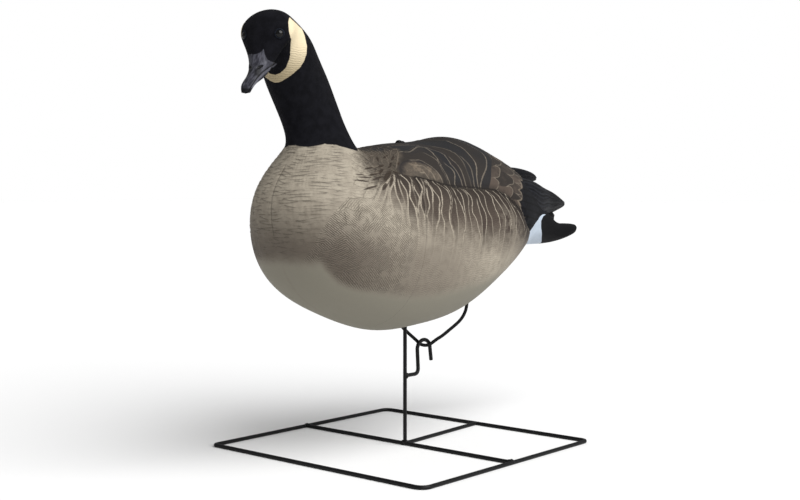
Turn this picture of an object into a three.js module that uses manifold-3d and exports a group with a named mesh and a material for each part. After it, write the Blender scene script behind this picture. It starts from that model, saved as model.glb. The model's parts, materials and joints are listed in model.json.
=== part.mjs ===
// A moulded Canada goose field decoy that hangs on the rod of a wire stand.
// Millimetres, +Z up. The goose faces -Y and its left side is +X.
// The origin is on the ground under the upright rod.
import * as THREE from "three";
import { mergeVertices } from "three/addons/utils/BufferGeometryUtils.js";
import Module from "manifold-3d";

const wasm = await Module();
wasm.setup();

// Gaps
const FIT_GAP = 0.3; // between pieces that touch or are welded
const BORE_GAP = 0.4; // round what sits in a hole of the moulded body
const CUT_PAST = 20; // a cut runs on past the surface by this much

// The wire stand
const WIRE_DIAMETER = 4.8; // 3/16 inch wire
const WIRE_SIDES = 8; // one facet of the section lies flat on the ground
const RING_WIDTH = 346; // along X, between centre lines
const RING_DEPTH = 332; // along Y, between centre lines
// Corner radii on the centre line: they are bent by hand, so they differ
const RING_BENDS = { front_left: 12, rear_left: 8, rear_right: 12, front_right: 5 };
const RING_OFFSET = -4.7; // the rod is hand welded a little off the ring's middle
const BRACE_DRIFT = -12; // how far the brace's rear end has drifted along X

// The hook on the rod, in the plane X = 0
const HOOK_HEIGHT = 89.4; // of its arm, where it leaves the rod
const HOOK_REACH = 26; // from the rod's centre line to the upright leg
const HOOK_BEND = 7; // radius between arm and leg
const HOOK_LEG = 31.6; // from the arm up to the spring of the arch
const HOOK_LEG_LEAN = -1.6; // along Y, over the leg's length
const HOOK_ARCH_WIDTH = 25.6; // between the two legs' centre lines
const HOOK_ARCH_RISE = 11.2; // from the spring of the arch to its top
const HOOK_TAIL = 17.4; // the free leg, down from the spring
const HOOK_TAIL_LEAN = 2.6; // along Y, over the free leg's length
const HOOK_STEPS = 36;

// The cord, which runs from the belly, under the arch of the hook and back into the belly.
// Its route is [side, y, z], where a side of 1 or -1 just clears the rod and the hook.
const CORD_DIAMETER = 4.3;
const CORD_SIDES = 8;
const CORD_STEPS = 46;
const CORD_ROUTE = [
  [-1, -6, 157.4],
  [-1, 0.7, 151.6],
  [-1, 10, 144.6],
  [-1, 19.7, 137.8],
  [-1, 29.8, 131],
  [-0.75, 33.6, 127],
  [0, 38, 124.9],
  [0.75, 42.4, 125.2],
  [1, 46.2, 126.9],
  [1, 57.6, 131.2],
  [1, 69.1, 134.8],
  [1, 86.6, 142.2],
  [1, 104.7, 150.6],
  [1, 113.6, 157.1],
  [1, 119, 163.9],
  [1, 121.8, 171.6],
  [1, 123, 182],
  [1, 123.8, 194],
  [1, 124, 204],
];

// The goose. Its stations are drawn for this length and height, and follow them when they change.
const GOOSE_LENGTH = 672; // from the bill's tip to the tail's end, along Y
const BELLY_HEIGHT = 156; // of the lowest part of the belly above the ground
const DRAWN_LENGTH = 672;
const DRAWN_BELLY = 156;
const HEAD_TURN = THREE.MathUtils.degToRad(18.2); // the head looks to the goose's left
const TURN_AXIS_Y = -197; // the upright axis that the neck turns about, as drawn

// Sections from tail to bill. back and belly are [y, z] on the middle plane, and a section spans between
// them. half is half its width, widest is the level of its widest point, and full says how full its upper
// and lower halves are: 2 is an ellipse.
const STATIONS = [
  { name: "tail_end", back: [367, 278], belly: [367.5, 270], half: 21.5, widest: 0.5, full: [2.4, 2.4] },
  { name: "tail", back: [342, 278.5], belly: [345.5, 259.5], half: 36.5, widest: 0.5, full: [2.4, 2.35] },
  { name: "tail_root", back: [304, 286], belly: [307.5, 249.5], half: 40, widest: 0.5, full: [2.2, 2.05] },
  { name: "vent", back: [265.5, 309.5], belly: [260, 248.5], half: 48, widest: 0.5, full: [2.1, 2] },
  { name: "rump", back: [221.5, 341], belly: [204, 240], half: 62.5, widest: 0.5, full: [2, 2.05] },
  { name: "thigh", back: [174, 367], belly: [149, 213.5], half: 84.5, widest: 0.48, full: [1.95, 2.15] },
  { name: "hip", back: [124, 383.5], belly: [94, 185.5], half: 100.5, widest: 0.48, full: [2, 2.15] },
  { name: "back", back: [76, 396], belly: [37.5, 163], half: 107.5, widest: 0.48, full: [1.9, 2.25] },
  { name: "waist", back: [23, 389], belly: [-22, 155], half: 109.5, widest: 0.48, full: [1.85, 2.2] },
  { name: "shoulder", back: [-35.5, 384], belly: [-73, 155], half: 108, widest: 0.49, full: [1.95, 2.05] },
  { name: "wing_root", back: [-83, 377], belly: [-136.5, 176], half: 103.5, widest: 0.5, full: [2, 2.15] },
  { name: "breast", back: [-111, 376.5], belly: [-191.5, 208], half: 94, widest: 0.49, full: [2, 2.25] },
  { name: "crop", back: [-123.5, 383.5], belly: [-223, 259.5], half: 76.5, widest: 0.47, full: [2, 2.3] },
  { name: "collar", back: [-125.5, 399.5], belly: [-230.5, 313], half: 53, widest: 0.46, full: [2, 2.25] },
  { name: "neck_base", back: [-128, 417.5], belly: [-212, 349.5], half: 32.5, widest: 0.48, full: [2, 2.05] },
  { name: "neck_low", back: [-134.5, 436.5], belly: [-198.5, 378.5], half: 26.5, widest: 0.5, full: [2, 2] },
  { name: "neck", back: [-147, 462.5], belly: [-212, 412.5], half: 28, widest: 0.5, full: [2, 2] },
  { name: "nape", back: [-168.5, 487], belly: [-230, 441], half: 30.5, widest: 0.5, full: [2, 2] },
  { name: "throat", back: [-195.5, 507.5], belly: [-242.5, 460], half: 30, widest: 0.55, full: [1.95, 2] },
  { name: "crown", back: [-230, 522], belly: [-249.5, 467], half: 28.5, widest: 0.55, full: [1.9, 1.9] },
  { name: "brow", back: [-259, 520.5], belly: [-253.5, 474], half: 31.5, widest: 0.52, full: [2, 1.8] },
  { name: "forehead", back: [-274, 497], belly: [-256, 470.5], half: 23.5, widest: 0.45, full: [2.05, 1.8] },
  { name: "bill_root", back: [-279.5, 471.5], belly: [-261.5, 461], half: 15, widest: 0.4, full: [2, 2] },
  { name: "bill", back: [-285.5, 456.5], belly: [-271, 449], half: 10.8, widest: 0.4, full: [2, 2] },
  { name: "bill_mid", back: [-293, 447.5], belly: [-285, 441], half: 8.8, widest: 0.45, full: [2, 2] },
  { name: "bill_end", back: [-300.5, 438], belly: [-297, 435.5], half: 8, widest: 0.5, full: [2.2, 2.2] },
  { name: "bill_tip", back: [-304, 430], belly: [-302, 428.5], half: 5.4, widest: 0.5, full: [2.2, 2.2] },
];
const TURN_STARTS = "neck_base";
const TURN_ENDS = "throat";
const BODY_RINGS = 3; // rings per station up to the neck
const HEAD_RINGS = 2; // rings per station from there on
const END_DOME = 1.5; // the bill's tip and the tail's end are a little rounded
const HALF_RING = 18; // points from belly to back on one side

// The crease where the flank's feathers overlap the folded wing, as [y, z] from the shoulder back
const WING_CREASE = [
  [-100, 347],
  [-68, 344],
  [-20, 334],
  [31, 331],
  [67, 328],
  [95, 316],
  [120, 301],
  [147, 280],
];
const CREASE_DEPTH = 3.5;
const CREASE_FADE = 30; // the crease dies out over this length at its ends
const CREASE_INDEX = 12; // the ring point that follows the crease

// The folded wing's flight feathers and the tertials above them, from tip to root, drawn for the left side
const FLIGHT_FEATHERS = [
  { back: [335.5, 311], belly: [336, 302.5], centre: 16.5, half: 5.3 },
  { back: [321, 316], belly: [320, 298], centre: 18, half: 9.2 },
  { back: [297, 323.5], belly: [296.5, 293], centre: 20.5, half: 14.2 },
  { back: [268, 329.5], belly: [267.5, 289], centre: 25, half: 18 },
  { back: [235.5, 336.5], belly: [234.5, 285], centre: 33, half: 21.3 },
  { back: [200.5, 342.5], belly: [199.5, 287], centre: 39, half: 23.4 },
  { back: [165.5, 345], belly: [165, 294.5], centre: 44, half: 23.3 },
];
const TERTIALS = [
  { back: [274, 345.5], belly: [272.5, 342], centre: 10, half: 4 },
  { back: [268, 348.5], belly: [267, 338.5], centre: 10.3, half: 7.8 },
  { back: [253.5, 353], belly: [253, 336.5], centre: 11, half: 11.5 },
  { back: [230, 356.5], belly: [229.5, 335.5], centre: 12.7, half: 14.4 },
  { back: [200, 358], belly: [200, 336], centre: 14, half: 16 },
  { back: [165, 355], belly: [165, 335], centre: 16, half: 16.5 },
];
// The coverts over the root of the tail, which fill the middle between the two folded wings
const TAIL_COVERTS = [
  { back: [311, 297], belly: [312, 281], centre: 0, half: 20 },
  { back: [300, 303], belly: [300, 272], centre: 0, half: 25 },
  { back: [270, 316], belly: [270, 262], centre: 0, half: 31 },
  { back: [235, 322], belly: [235, 262], centre: 0, half: 36 },
];
const LOBE_RINGS = 2;
const LOBE_HALF_RING = 7;
const LOBE_FULLNESS = 2.6;

// The eyes, set at a place on the loft: a station number with its share, and an angle from the belly
const EYE_RADIUS = 5.6;
const EYE_PROUD = 2.4; // how far the eye stands out of the head
const EYE_STATION = 20.83;
const EYE_ANGLE = THREE.MathUtils.degToRad(121);

// The cap on the ridge of the back
const CAP_BASE_RADIUS = 6.3;
const CAP_LOBE_RADIUS = 4;
const CAP_LOBE_FLATNESS = 0.6; // its height over its width
const CAP_HEIGHT = 3; // above the ridge
const CAP_SINK = 2.5; // into its pocket
const CAP_AHEAD = 9.5; // of the rod, towards the head
const CAP_TAB = 3.4; // the squared lobe's side

// The rod's end inside the body, under the ridge of the back
const ROD_COVER = 16;

const COLOURS = {
  goose: 0x8f8877,
  black: 0x141416,
  eye: 0x050506,
  cord: 0x101010,
};

const wireRadius = WIRE_DIAMETER / 2;
const cornerOf = (width, sides) => width / 2 / Math.cos(Math.PI / sides);
const cordSide = cornerOf(WIRE_DIAMETER, WIRE_SIDES) + cornerOf(CORD_DIAMETER, CORD_SIDES) + FIT_GAP;
const cordPoints = CORD_ROUTE.map(([side, y, z]) => new THREE.Vector3(side * cordSide, y, z));
const gooseScale = GOOSE_LENGTH / DRAWN_LENGTH;
const raise = (z) => BELLY_HEIGHT + (z - DRAWN_BELLY) * gooseScale;

// Geometry helpers

function material(colour, roughness, metalness = 0) {
  return new THREE.MeshStandardMaterial({ color: colour, roughness, metalness });
}

function solidOf(geometry) {
  const bare = geometry.index ? geometry.toNonIndexed() : geometry.clone();
  bare.deleteAttribute("normal");
  bare.deleteAttribute("uv");
  const merged = mergeVertices(bare, 1e-4);
  return new wasm.Manifold(
    new wasm.Mesh({
      numProp: 3,
      vertProperties: merged.attributes.position.array,
      triVerts: new Uint32Array(merged.index.array),
    }),
  );
}

function geometryOf(solid) {
  const mesh = solid.getMesh();
  const geometry = new THREE.BufferGeometry();
  geometry.setAttribute("position", new THREE.BufferAttribute(new Float32Array(mesh.vertProperties), 3));
  geometry.setIndex(new THREE.BufferAttribute(new Uint32Array(mesh.triVerts), 1));
  return geometry;
}

function middleOf(ring) {
  const middle = new THREE.Vector3();
  ring.forEach((p) => middle.addScaledVector(p, 1 / ring.length));
  return middle;
}

// A closed skin over rings of points, which turn right-handed about the way that they follow one another.
// dome is how far the middle of each end stands out.
function skin(rings, closed = false, dome = 0) {
  const count = rings[0].length;
  const points = rings.flat();
  const indices = [];
  const last = closed ? rings.length : rings.length - 1;
  for (let i = 0; i < last; i++) {
    const next = (i + 1) % rings.length;
    for (let j = 0; j < count; j++) {
      const k = (j + 1) % count;
      indices.push(i * count + j, i * count + k, next * count + k);
      indices.push(i * count + j, next * count + k, next * count + j);
    }
  }
  if (!closed) {
    [0, rings.length - 1].forEach((end, side) => {
      const middle = middleOf(rings[end]);
      const beside = middleOf(rings[side === 0 ? 1 : end - 1]);
      points.push(middle.clone().addScaledVector(middle.clone().sub(beside).normalize(), dome));
      const hub = points.length - 1;
      for (let j = 0; j < count; j++) {
        const k = (j + 1) % count;
        const a = end * count + j;
        const b = end * count + k;
        if (side === 0) indices.push(hub, b, a);
        else indices.push(hub, a, b);
      }
    });
  }
  const geometry = new THREE.BufferGeometry().setFromPoints(points);
  geometry.setIndex(indices);
  return geometry;
}

// A natural cubic spline through numbers at 0, 1, 2, ...
function spline(values) {
  const n = values.length;
  const bend = new Array(n).fill(0);
  const slope = new Array(n).fill(0);
  const load = new Array(n).fill(0);
  for (let i = 1; i < n - 1; i++) {
    const pivot = 4 - slope[i - 1];
    slope[i] = 1 / pivot;
    load[i] = (6 * (values[i - 1] - 2 * values[i] + values[i + 1]) - load[i - 1]) / pivot;
  }
  for (let i = n - 2; i > 0; i--) bend[i] = load[i] - slope[i] * bend[i + 1];
  return (t) => {
    const i = Math.min(Math.max(Math.floor(t), 0), n - 2);
    const f = t - i;
    const g = 1 - f;
    const straight = g * values[i] + f * values[i + 1];
    return straight + ((g ** 3 - g) * bend[i] + (f ** 3 - f) * bend[i + 1]) / 6;
  };
}

// The value at y of a line through [y, value] points
function along(points, y) {
  const last = points.length - 1;
  if (y <= points[0][0]) return points[0][1];
  if (y >= points[last][0]) return points[last][1];
  const i = points.findIndex((p) => p[0] > y);
  const share = (y - points[i - 1][0]) / (points[i][0] - points[i - 1][0]);
  return THREE.MathUtils.lerp(points[i - 1][1], points[i][1], share);
}

// One half of a section: how far out and how far up a point is, from the angle at the belly
function halfSection(angle, widest, upper, lower) {
  const low = Math.cos(angle) > 0;
  const power = 2 / (low ? lower : upper);
  const rise = Math.abs(Math.cos(angle)) ** power;
  return {
    out: Math.abs(Math.sin(angle)) ** power,
    up: low ? widest * (1 - rise) : widest + (1 - widest) * rise,
  };
}

// The goose's loft

const loft = {
  backY: spline(STATIONS.map((s) => s.back[0])),
  backZ: spline(STATIONS.map((s) => s.back[1])),
  bellyY: spline(STATIONS.map((s) => s.belly[0])),
  bellyZ: spline(STATIONS.map((s) => s.belly[1])),
  half: spline(STATIONS.map((s) => s.half)),
  widest: spline(STATIONS.map((s) => s.widest)),
  upper: spline(STATIONS.map((s) => s.full[0])),
  lower: spline(STATIONS.map((s) => s.full[1])),
};
const stationNumber = (name) => STATIONS.findIndex((s) => s.name === name);
const turnStart = stationNumber(TURN_STARTS);
const turnEnd = stationNumber(TURN_ENDS);

// A drawn point, turned with the head and set at the goose's real size
function placed(t, x, y, z) {
  const turn = HEAD_TURN * THREE.MathUtils.smoothstep(t, turnStart, turnEnd);
  const ahead = y - TURN_AXIS_Y;
  return new THREE.Vector3(
    (x * Math.cos(turn) - ahead * Math.sin(turn)) * gooseScale,
    (TURN_AXIS_Y + ahead * Math.cos(turn) + x * Math.sin(turn)) * gooseScale,
    raise(z),
  );
}

function drawnPoint(t, angle) {
  const { out, up } = halfSection(angle, loft.widest(t), loft.upper(t), loft.lower(t));
  return {
    x: loft.half(t) * out * Math.sign(Math.sin(angle)),
    y: THREE.MathUtils.lerp(loft.bellyY(t), loft.backY(t), up),
    z: THREE.MathUtils.lerp(loft.bellyZ(t), loft.backZ(t), up),
  };
}

function surfacePoint(t, angle) {
  const p = drawnPoint(t, angle);
  return placed(t, p.x, p.y, p.z);
}

function surfaceNormal(t, angle) {
  const step = 0.02;
  const lengthways = surfacePoint(t + step, angle).sub(surfacePoint(t - step, angle));
  const around = surfacePoint(t, angle + step).sub(surfacePoint(t, angle - step));
  return around.cross(lengthways).normalize();
}

// The angle where a section meets the wing's crease
function creaseAngle(t) {
  let angle = Math.PI / 2;
  for (let pass = 0; pass < 24; pass++) {
    const p = drawnPoint(t, angle);
    angle += (along(WING_CREASE, p.y) - p.z) * 0.004;
    angle = THREE.MathUtils.clamp(angle, 1.2, 2.5);
  }
  return angle;
}

function creaseDepth(y) {
  const front = WING_CREASE[0][0];
  const rear = WING_CREASE[WING_CREASE.length - 1][0];
  const fadeIn = THREE.MathUtils.smoothstep(y, front, front + CREASE_FADE);
  const fadeOut = 1 - THREE.MathUtils.smoothstep(y, rear, rear + CREASE_FADE);
  return CREASE_DEPTH * fadeIn * fadeOut;
}

function ringAngles(t) {
  const crease = creaseAngle(t);
  const half = [];
  for (let j = 0; j <= HALF_RING; j++) {
    const below = (crease * j) / CREASE_INDEX;
    const above = crease + ((Math.PI - crease) * (j - CREASE_INDEX)) / (HALF_RING - CREASE_INDEX);
    half.push(j <= CREASE_INDEX ? below : above);
  }
  const mirrored = half.slice(1, -1).reverse().map((angle) => 2 * Math.PI - angle);
  return half.concat(mirrored);
}

function bodyRing(t) {
  const creases = [CREASE_INDEX, 2 * HALF_RING - CREASE_INDEX];
  return ringAngles(t).map((angle, j) => {
    const point = surfacePoint(t, angle);
    if (!creases.includes(j) || t > turnStart) return point;
    const depth = creaseDepth(drawnPoint(t, angle).y) * gooseScale;
    return point.addScaledVector(surfaceNormal(t, angle), -depth);
  });
}

function bodySkin() {
  const rings = [];
  const neck = stationNumber(TURN_STARTS);
  for (let i = 0; i < neck * BODY_RINGS; i++) rings.push(bodyRing(i / BODY_RINGS));
  const last = STATIONS.length - 1;
  for (let i = 0; i <= (last - neck) * HEAD_RINGS; i++) rings.push(bodyRing(neck + i / HEAD_RINGS));
  return skin(rings, false, END_DOME);
}

// A lobe of folded feathers beside the middle plane: side is 1 on the left and -1 on the right
function lobe(stations, side) {
  const backY = spline(stations.map((s) => s.back[0]));
  const backZ = spline(stations.map((s) => s.back[1]));
  const bellyY = spline(stations.map((s) => s.belly[0]));
  const bellyZ = spline(stations.map((s) => s.belly[1]));
  const centre = spline(stations.map((s) => s.centre));
  const half = spline(stations.map((s) => s.half));
  const rings = [];
  for (let i = 0; i <= (stations.length - 1) * LOBE_RINGS; i++) {
    const t = i / LOBE_RINGS;
    const ring = [];
    for (let j = 0; j < 2 * LOBE_HALF_RING; j++) {
      const angle = (Math.PI * j) / LOBE_HALF_RING;
      const { out, up } = halfSection(angle, 0.5, LOBE_FULLNESS, LOBE_FULLNESS);
      const x = side * centre(t) + half(t) * out * Math.sign(Math.sin(angle));
      const y = THREE.MathUtils.lerp(bellyY(t), backY(t), up);
      const z = THREE.MathUtils.lerp(bellyZ(t), backZ(t), up);
      ring.push(placed(0, x, y, z));
    }
    rings.push(ring);
  }
  return skin(rings);
}

// Places on the goose that its fittings use

function ridgeHeight(y) {
  let t = stationNumber("waist");
  for (let pass = 0; pass < 40; pass++) t += (loft.backY(t) * gooseScale - y) * 0.01;
  return raise(loft.backZ(t));
}

const rodTop = ridgeHeight(0) - ROD_COVER;
const capRidge = ridgeHeight(-CAP_AHEAD);

function eyeCentre(side) {
  const angle = side > 0 ? EYE_ANGLE : 2 * Math.PI - EYE_ANGLE;
  const inset = EYE_RADIUS - EYE_PROUD;
  return surfacePoint(EYE_STATION, angle).addScaledVector(surfaceNormal(EYE_STATION, angle), -inset);
}

function ball(radius, centre) {
  return new THREE.SphereGeometry(radius, 16, 9).translate(centre.x, centre.y, centre.z);
}

// An upright round bar or bore between two heights
function upright(radius, low, high, y = 0, sides = 12) {
  const bar = new THREE.CylinderGeometry(radius, radius, high - low, sides);
  return bar.rotateX(Math.PI / 2).translate(0, y, (low + high) / 2);
}

// The bore round the cord's end, from its inner to its outer point
function cordBore(inner, outer) {
  const way = outer.clone().sub(inner);
  const radius = cornerOf(CORD_DIAMETER, CORD_SIDES) + BORE_GAP;
  const bore = new THREE.CylinderGeometry(radius, radius, way.length() + 2 * BORE_GAP, CORD_SIDES * 2);
  const turn = new THREE.Quaternion().setFromUnitVectors(new THREE.Vector3(0, 1, 0), way.normalize());
  const middle = inner.clone().add(outer).multiplyScalar(0.5);
  return bore.applyQuaternion(turn).translate(middle.x, middle.y, middle.z);
}

function gooseBody() {
  let body = solidOf(bodySkin()).add(solidOf(lobe(TAIL_COVERTS, 1)));
  for (const side of [1, -1]) {
    body = body.add(solidOf(lobe(FLIGHT_FEATHERS, side)));
    body = body.add(solidOf(lobe(TERTIALS, side)));
  }
  const last = cordPoints.length - 1;
  const pocketFloor = capRidge - CAP_SINK - BORE_GAP;
  const cuts = [
    ball(EYE_RADIUS + FIT_GAP, eyeCentre(1)),
    ball(EYE_RADIUS + FIT_GAP, eyeCentre(-1)),
    upright(wireRadius + BORE_GAP, BELLY_HEIGHT - CUT_PAST, rodTop + BORE_GAP),
    upright(CAP_BASE_RADIUS + BORE_GAP, pocketFloor, capRidge + CUT_PAST, -CAP_AHEAD, 20),
    cordBore(cordPoints[0], cordPoints[1]),
    cordBore(cordPoints[last], cordPoints[last - 2]),
  ];
  for (const cut of cuts) body = body.subtract(solidOf(cut));
  return geometryOf(body);
}

// The cap: a round base with a domed lobe in front and a squared one behind
function backCap() {
  const profile = [
    [0, 0],
    [CAP_BASE_RADIUS, 0],
    [CAP_BASE_RADIUS, CAP_SINK + 0.3],
    [CAP_BASE_RADIUS - 0.8, CAP_SINK + 0.9],
    [0, CAP_SINK + 0.9],
  ].map(([r, z]) => new THREE.Vector2(r, z));
  const base = new THREE.LatheGeometry(profile, 24).rotateX(Math.PI / 2);
  const lobeHeight = CAP_SINK + CAP_HEIGHT;
  const dome = new THREE.SphereGeometry(CAP_LOBE_RADIUS, 16, 10);
  dome.scale(1, 1, CAP_LOBE_FLATNESS);
  dome.translate(0, CAP_LOBE_RADIUS - CAP_BASE_RADIUS, lobeHeight - CAP_LOBE_RADIUS * CAP_LOBE_FLATNESS);
  const tab = new THREE.BoxGeometry(CAP_TAB, CAP_TAB, lobeHeight - 1);
  tab.translate(0, CAP_BASE_RADIUS - CAP_TAB * 0.65, lobeHeight / 2);
  const cap = solidOf(base).add(solidOf(dome)).add(solidOf(tab));
  return geometryOf(cap).translate(0, -CAP_AHEAD, capRidge - CAP_SINK);
}

// The wire stand's pieces

// A section with flat facets, the given width across them: one facet lies flat below
function facetedSection(width, sides) {
  const corner = cornerOf(width, sides);
  const points = [];
  for (let i = 0; i < sides; i++) {
    const angle = (2 * Math.PI * (i + 0.5)) / sides;
    points.push(new THREE.Vector2(corner * Math.cos(angle), corner * Math.sin(angle)));
  }
  return points;
}

const wireSection = () => facetedSection(WIRE_DIAMETER, WIRE_SIDES);

function tubeAlong(path, section, steps) {
  const options = { steps, extrudePath: path, bevelEnabled: false };
  return new THREE.ExtrudeGeometry(new THREE.Shape(section), options);
}

function straightWire(from, to) {
  const bar = new THREE.ExtrudeGeometry(new THREE.Shape(wireSection()), {
    depth: from.distanceTo(to),
    bevelEnabled: false,
  });
  // The extrusion runs along Z: it is laid down with its section upright, then turned about Z.
  bar.rotateY(Math.PI / 2);
  const heading = Math.atan2(to.y - from.y, to.x - from.x);
  return bar.rotateZ(heading).translate(from.x, from.y, from.z);
}

function baseRing() {
  const halfX = RING_WIDTH / 2;
  const halfY = RING_DEPTH / 2;
  const bendSteps = 6;
  const corners = [
    [1, -1, -Math.PI / 2, RING_BENDS.front_left],
    [1, 1, 0, RING_BENDS.rear_left],
    [-1, 1, Math.PI / 2, RING_BENDS.rear_right],
    [-1, -1, Math.PI, RING_BENDS.front_right],
  ];
  const rings = [];
  for (const [sx, sy, start, bend] of corners) {
    for (let i = 0; i <= bendSteps; i++) {
      const heading = start + ((Math.PI / 2) * i) / bendSteps;
      const out = new THREE.Vector3(Math.cos(heading), Math.sin(heading), 0);
      const centre = new THREE.Vector3(
        RING_OFFSET + sx * (halfX - bend), sy * (halfY - bend), wireRadius);
      const line = centre.addScaledVector(out, bend);
      rings.push(wireSection().map((p) => line.clone().addScaledVector(out, -p.x).setZ(line.z + p.y)));
    }
  }
  return skin(rings, true);
}

function crossbar() {
  const reach = RING_WIDTH / 2 - wireRadius - FIT_GAP;
  const at = (x) => new THREE.Vector3(RING_OFFSET + x, 0, wireRadius);
  return straightWire(at(-reach), at(reach));
}

function braceBar() {
  const rear = RING_DEPTH / 2;
  const lean = BRACE_DRIFT / rear;
  const clear = wireRadius + FIT_GAP + Math.abs(lean) * wireRadius;
  const at = (y) => new THREE.Vector3(lean * y, y, wireRadius);
  return straightWire(at(clear), at(rear - clear));
}

function uprightRod() {
  return upright(wireRadius, WIRE_DIAMETER + FIT_GAP, rodTop);
}

function lineHook() {
  const path = new THREE.CurvePath();
  const legY = HOOK_REACH;
  const springZ = HOOK_HEIGHT + HOOK_LEG;
  const topY = legY + HOOK_LEG_LEAN;
  const freeY = topY + HOOK_ARCH_WIDTH;
  const at = (y, z) => new THREE.Vector3(0, y, z);
  const straight = (a, b) => path.add(new THREE.LineCurve3(a, b));
  const armEnd = at(legY - HOOK_BEND, HOOK_HEIGHT);
  const legStart = at(legY, HOOK_HEIGHT + HOOK_BEND);
  straight(at(wireRadius + FIT_GAP, HOOK_HEIGHT), armEnd);
  path.add(new THREE.QuadraticBezierCurve3(armEnd, at(legY, HOOK_HEIGHT), legStart));
  straight(legStart, at(topY, springZ));
  const archPoints = [];
  for (let i = 0; i <= 10; i++) {
    const angle = Math.PI * (1 - i / 10);
    const middle = topY + HOOK_ARCH_WIDTH / 2;
    archPoints.push(
      at(middle + (HOOK_ARCH_WIDTH / 2) * Math.cos(angle), springZ + HOOK_ARCH_RISE * Math.sin(angle)));
  }
  path.add(new THREE.CatmullRomCurve3(archPoints));
  straight(at(freeY, springZ), at(freeY + HOOK_TAIL_LEAN, springZ - HOOK_TAIL));
  return tubeAlong(path, wireSection(), HOOK_STEPS);
}

function tetherCord() {
  const curve = new THREE.CatmullRomCurve3(cordPoints, false, "centripetal");
  return tubeAlong(curve, facetedSection(CORD_DIAMETER, CORD_SIDES), CORD_STEPS);
}

// The whole decoy

const group = new THREE.Group();

function add(name, geometry, finish) {
  const mesh = new THREE.Mesh(geometry, finish);
  mesh.name = name;
  group.add(mesh);
}

const moulded = material(COLOURS.goose, 0.75);
const wireFinish = material(COLOURS.black, 0.45, 0.3);
const eyeFinish = material(COLOURS.eye, 0.1);
const capFinish = material(COLOURS.black, 0.6);
const cordFinish = material(COLOURS.cord, 0.9);

add("goose_body", gooseBody(), moulded);
add("left_eye", ball(EYE_RADIUS, eyeCentre(1)), eyeFinish);
add("right_eye", ball(EYE_RADIUS, eyeCentre(-1)), eyeFinish);
add("back_cap", backCap(), capFinish);
add("base_ring", baseRing(), wireFinish);
add("crossbar", crossbar(), wireFinish);
add("brace_bar", braceBar(), wireFinish);
add("upright_rod", uprightRod(), wireFinish);
add("line_hook", lineHook(), wireFinish);
add("tether_cord", tetherCord(), cordFinish);

export default group;
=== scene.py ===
"""A moulded goose decoy on its wire stand: carved feathers, paint and flock, wire and cord.

The numbers are in millimetres and Blender's objects in metres. What is drawn on the goose, such as a
colour's edge, is placed by the drawn side view [y, z] of its left side, before the head is turned.
"""
import json
import math
from functools import partialmethod

import bpy
import numpy as np
from mathutils import Matrix, Vector

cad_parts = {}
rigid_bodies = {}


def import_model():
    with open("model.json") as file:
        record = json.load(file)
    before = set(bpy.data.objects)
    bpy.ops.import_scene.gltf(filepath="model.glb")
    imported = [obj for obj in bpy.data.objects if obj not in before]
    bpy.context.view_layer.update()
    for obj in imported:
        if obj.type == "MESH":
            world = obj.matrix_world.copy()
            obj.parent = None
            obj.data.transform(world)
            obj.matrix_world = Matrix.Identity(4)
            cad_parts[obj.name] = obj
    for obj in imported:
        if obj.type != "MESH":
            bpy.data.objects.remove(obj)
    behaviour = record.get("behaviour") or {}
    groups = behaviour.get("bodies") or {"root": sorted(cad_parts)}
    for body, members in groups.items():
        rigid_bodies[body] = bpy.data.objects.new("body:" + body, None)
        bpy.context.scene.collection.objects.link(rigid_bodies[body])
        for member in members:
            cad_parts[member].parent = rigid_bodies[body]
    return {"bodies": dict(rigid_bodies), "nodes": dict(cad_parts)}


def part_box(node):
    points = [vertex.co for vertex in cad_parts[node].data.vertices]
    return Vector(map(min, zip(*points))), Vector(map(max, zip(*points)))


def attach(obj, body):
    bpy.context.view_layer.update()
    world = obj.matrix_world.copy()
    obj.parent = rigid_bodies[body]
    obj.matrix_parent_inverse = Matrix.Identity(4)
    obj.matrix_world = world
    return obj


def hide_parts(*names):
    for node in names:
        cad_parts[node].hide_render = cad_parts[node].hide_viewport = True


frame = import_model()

# Whatever the scene started with, such as a default cube, goes
kept = set(frame["nodes"].values()) | set(frame["bodies"].values())
for other in [o for o in bpy.data.objects if o not in kept]:
    bpy.data.objects.remove(other)

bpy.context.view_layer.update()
MM = 0.001

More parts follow.
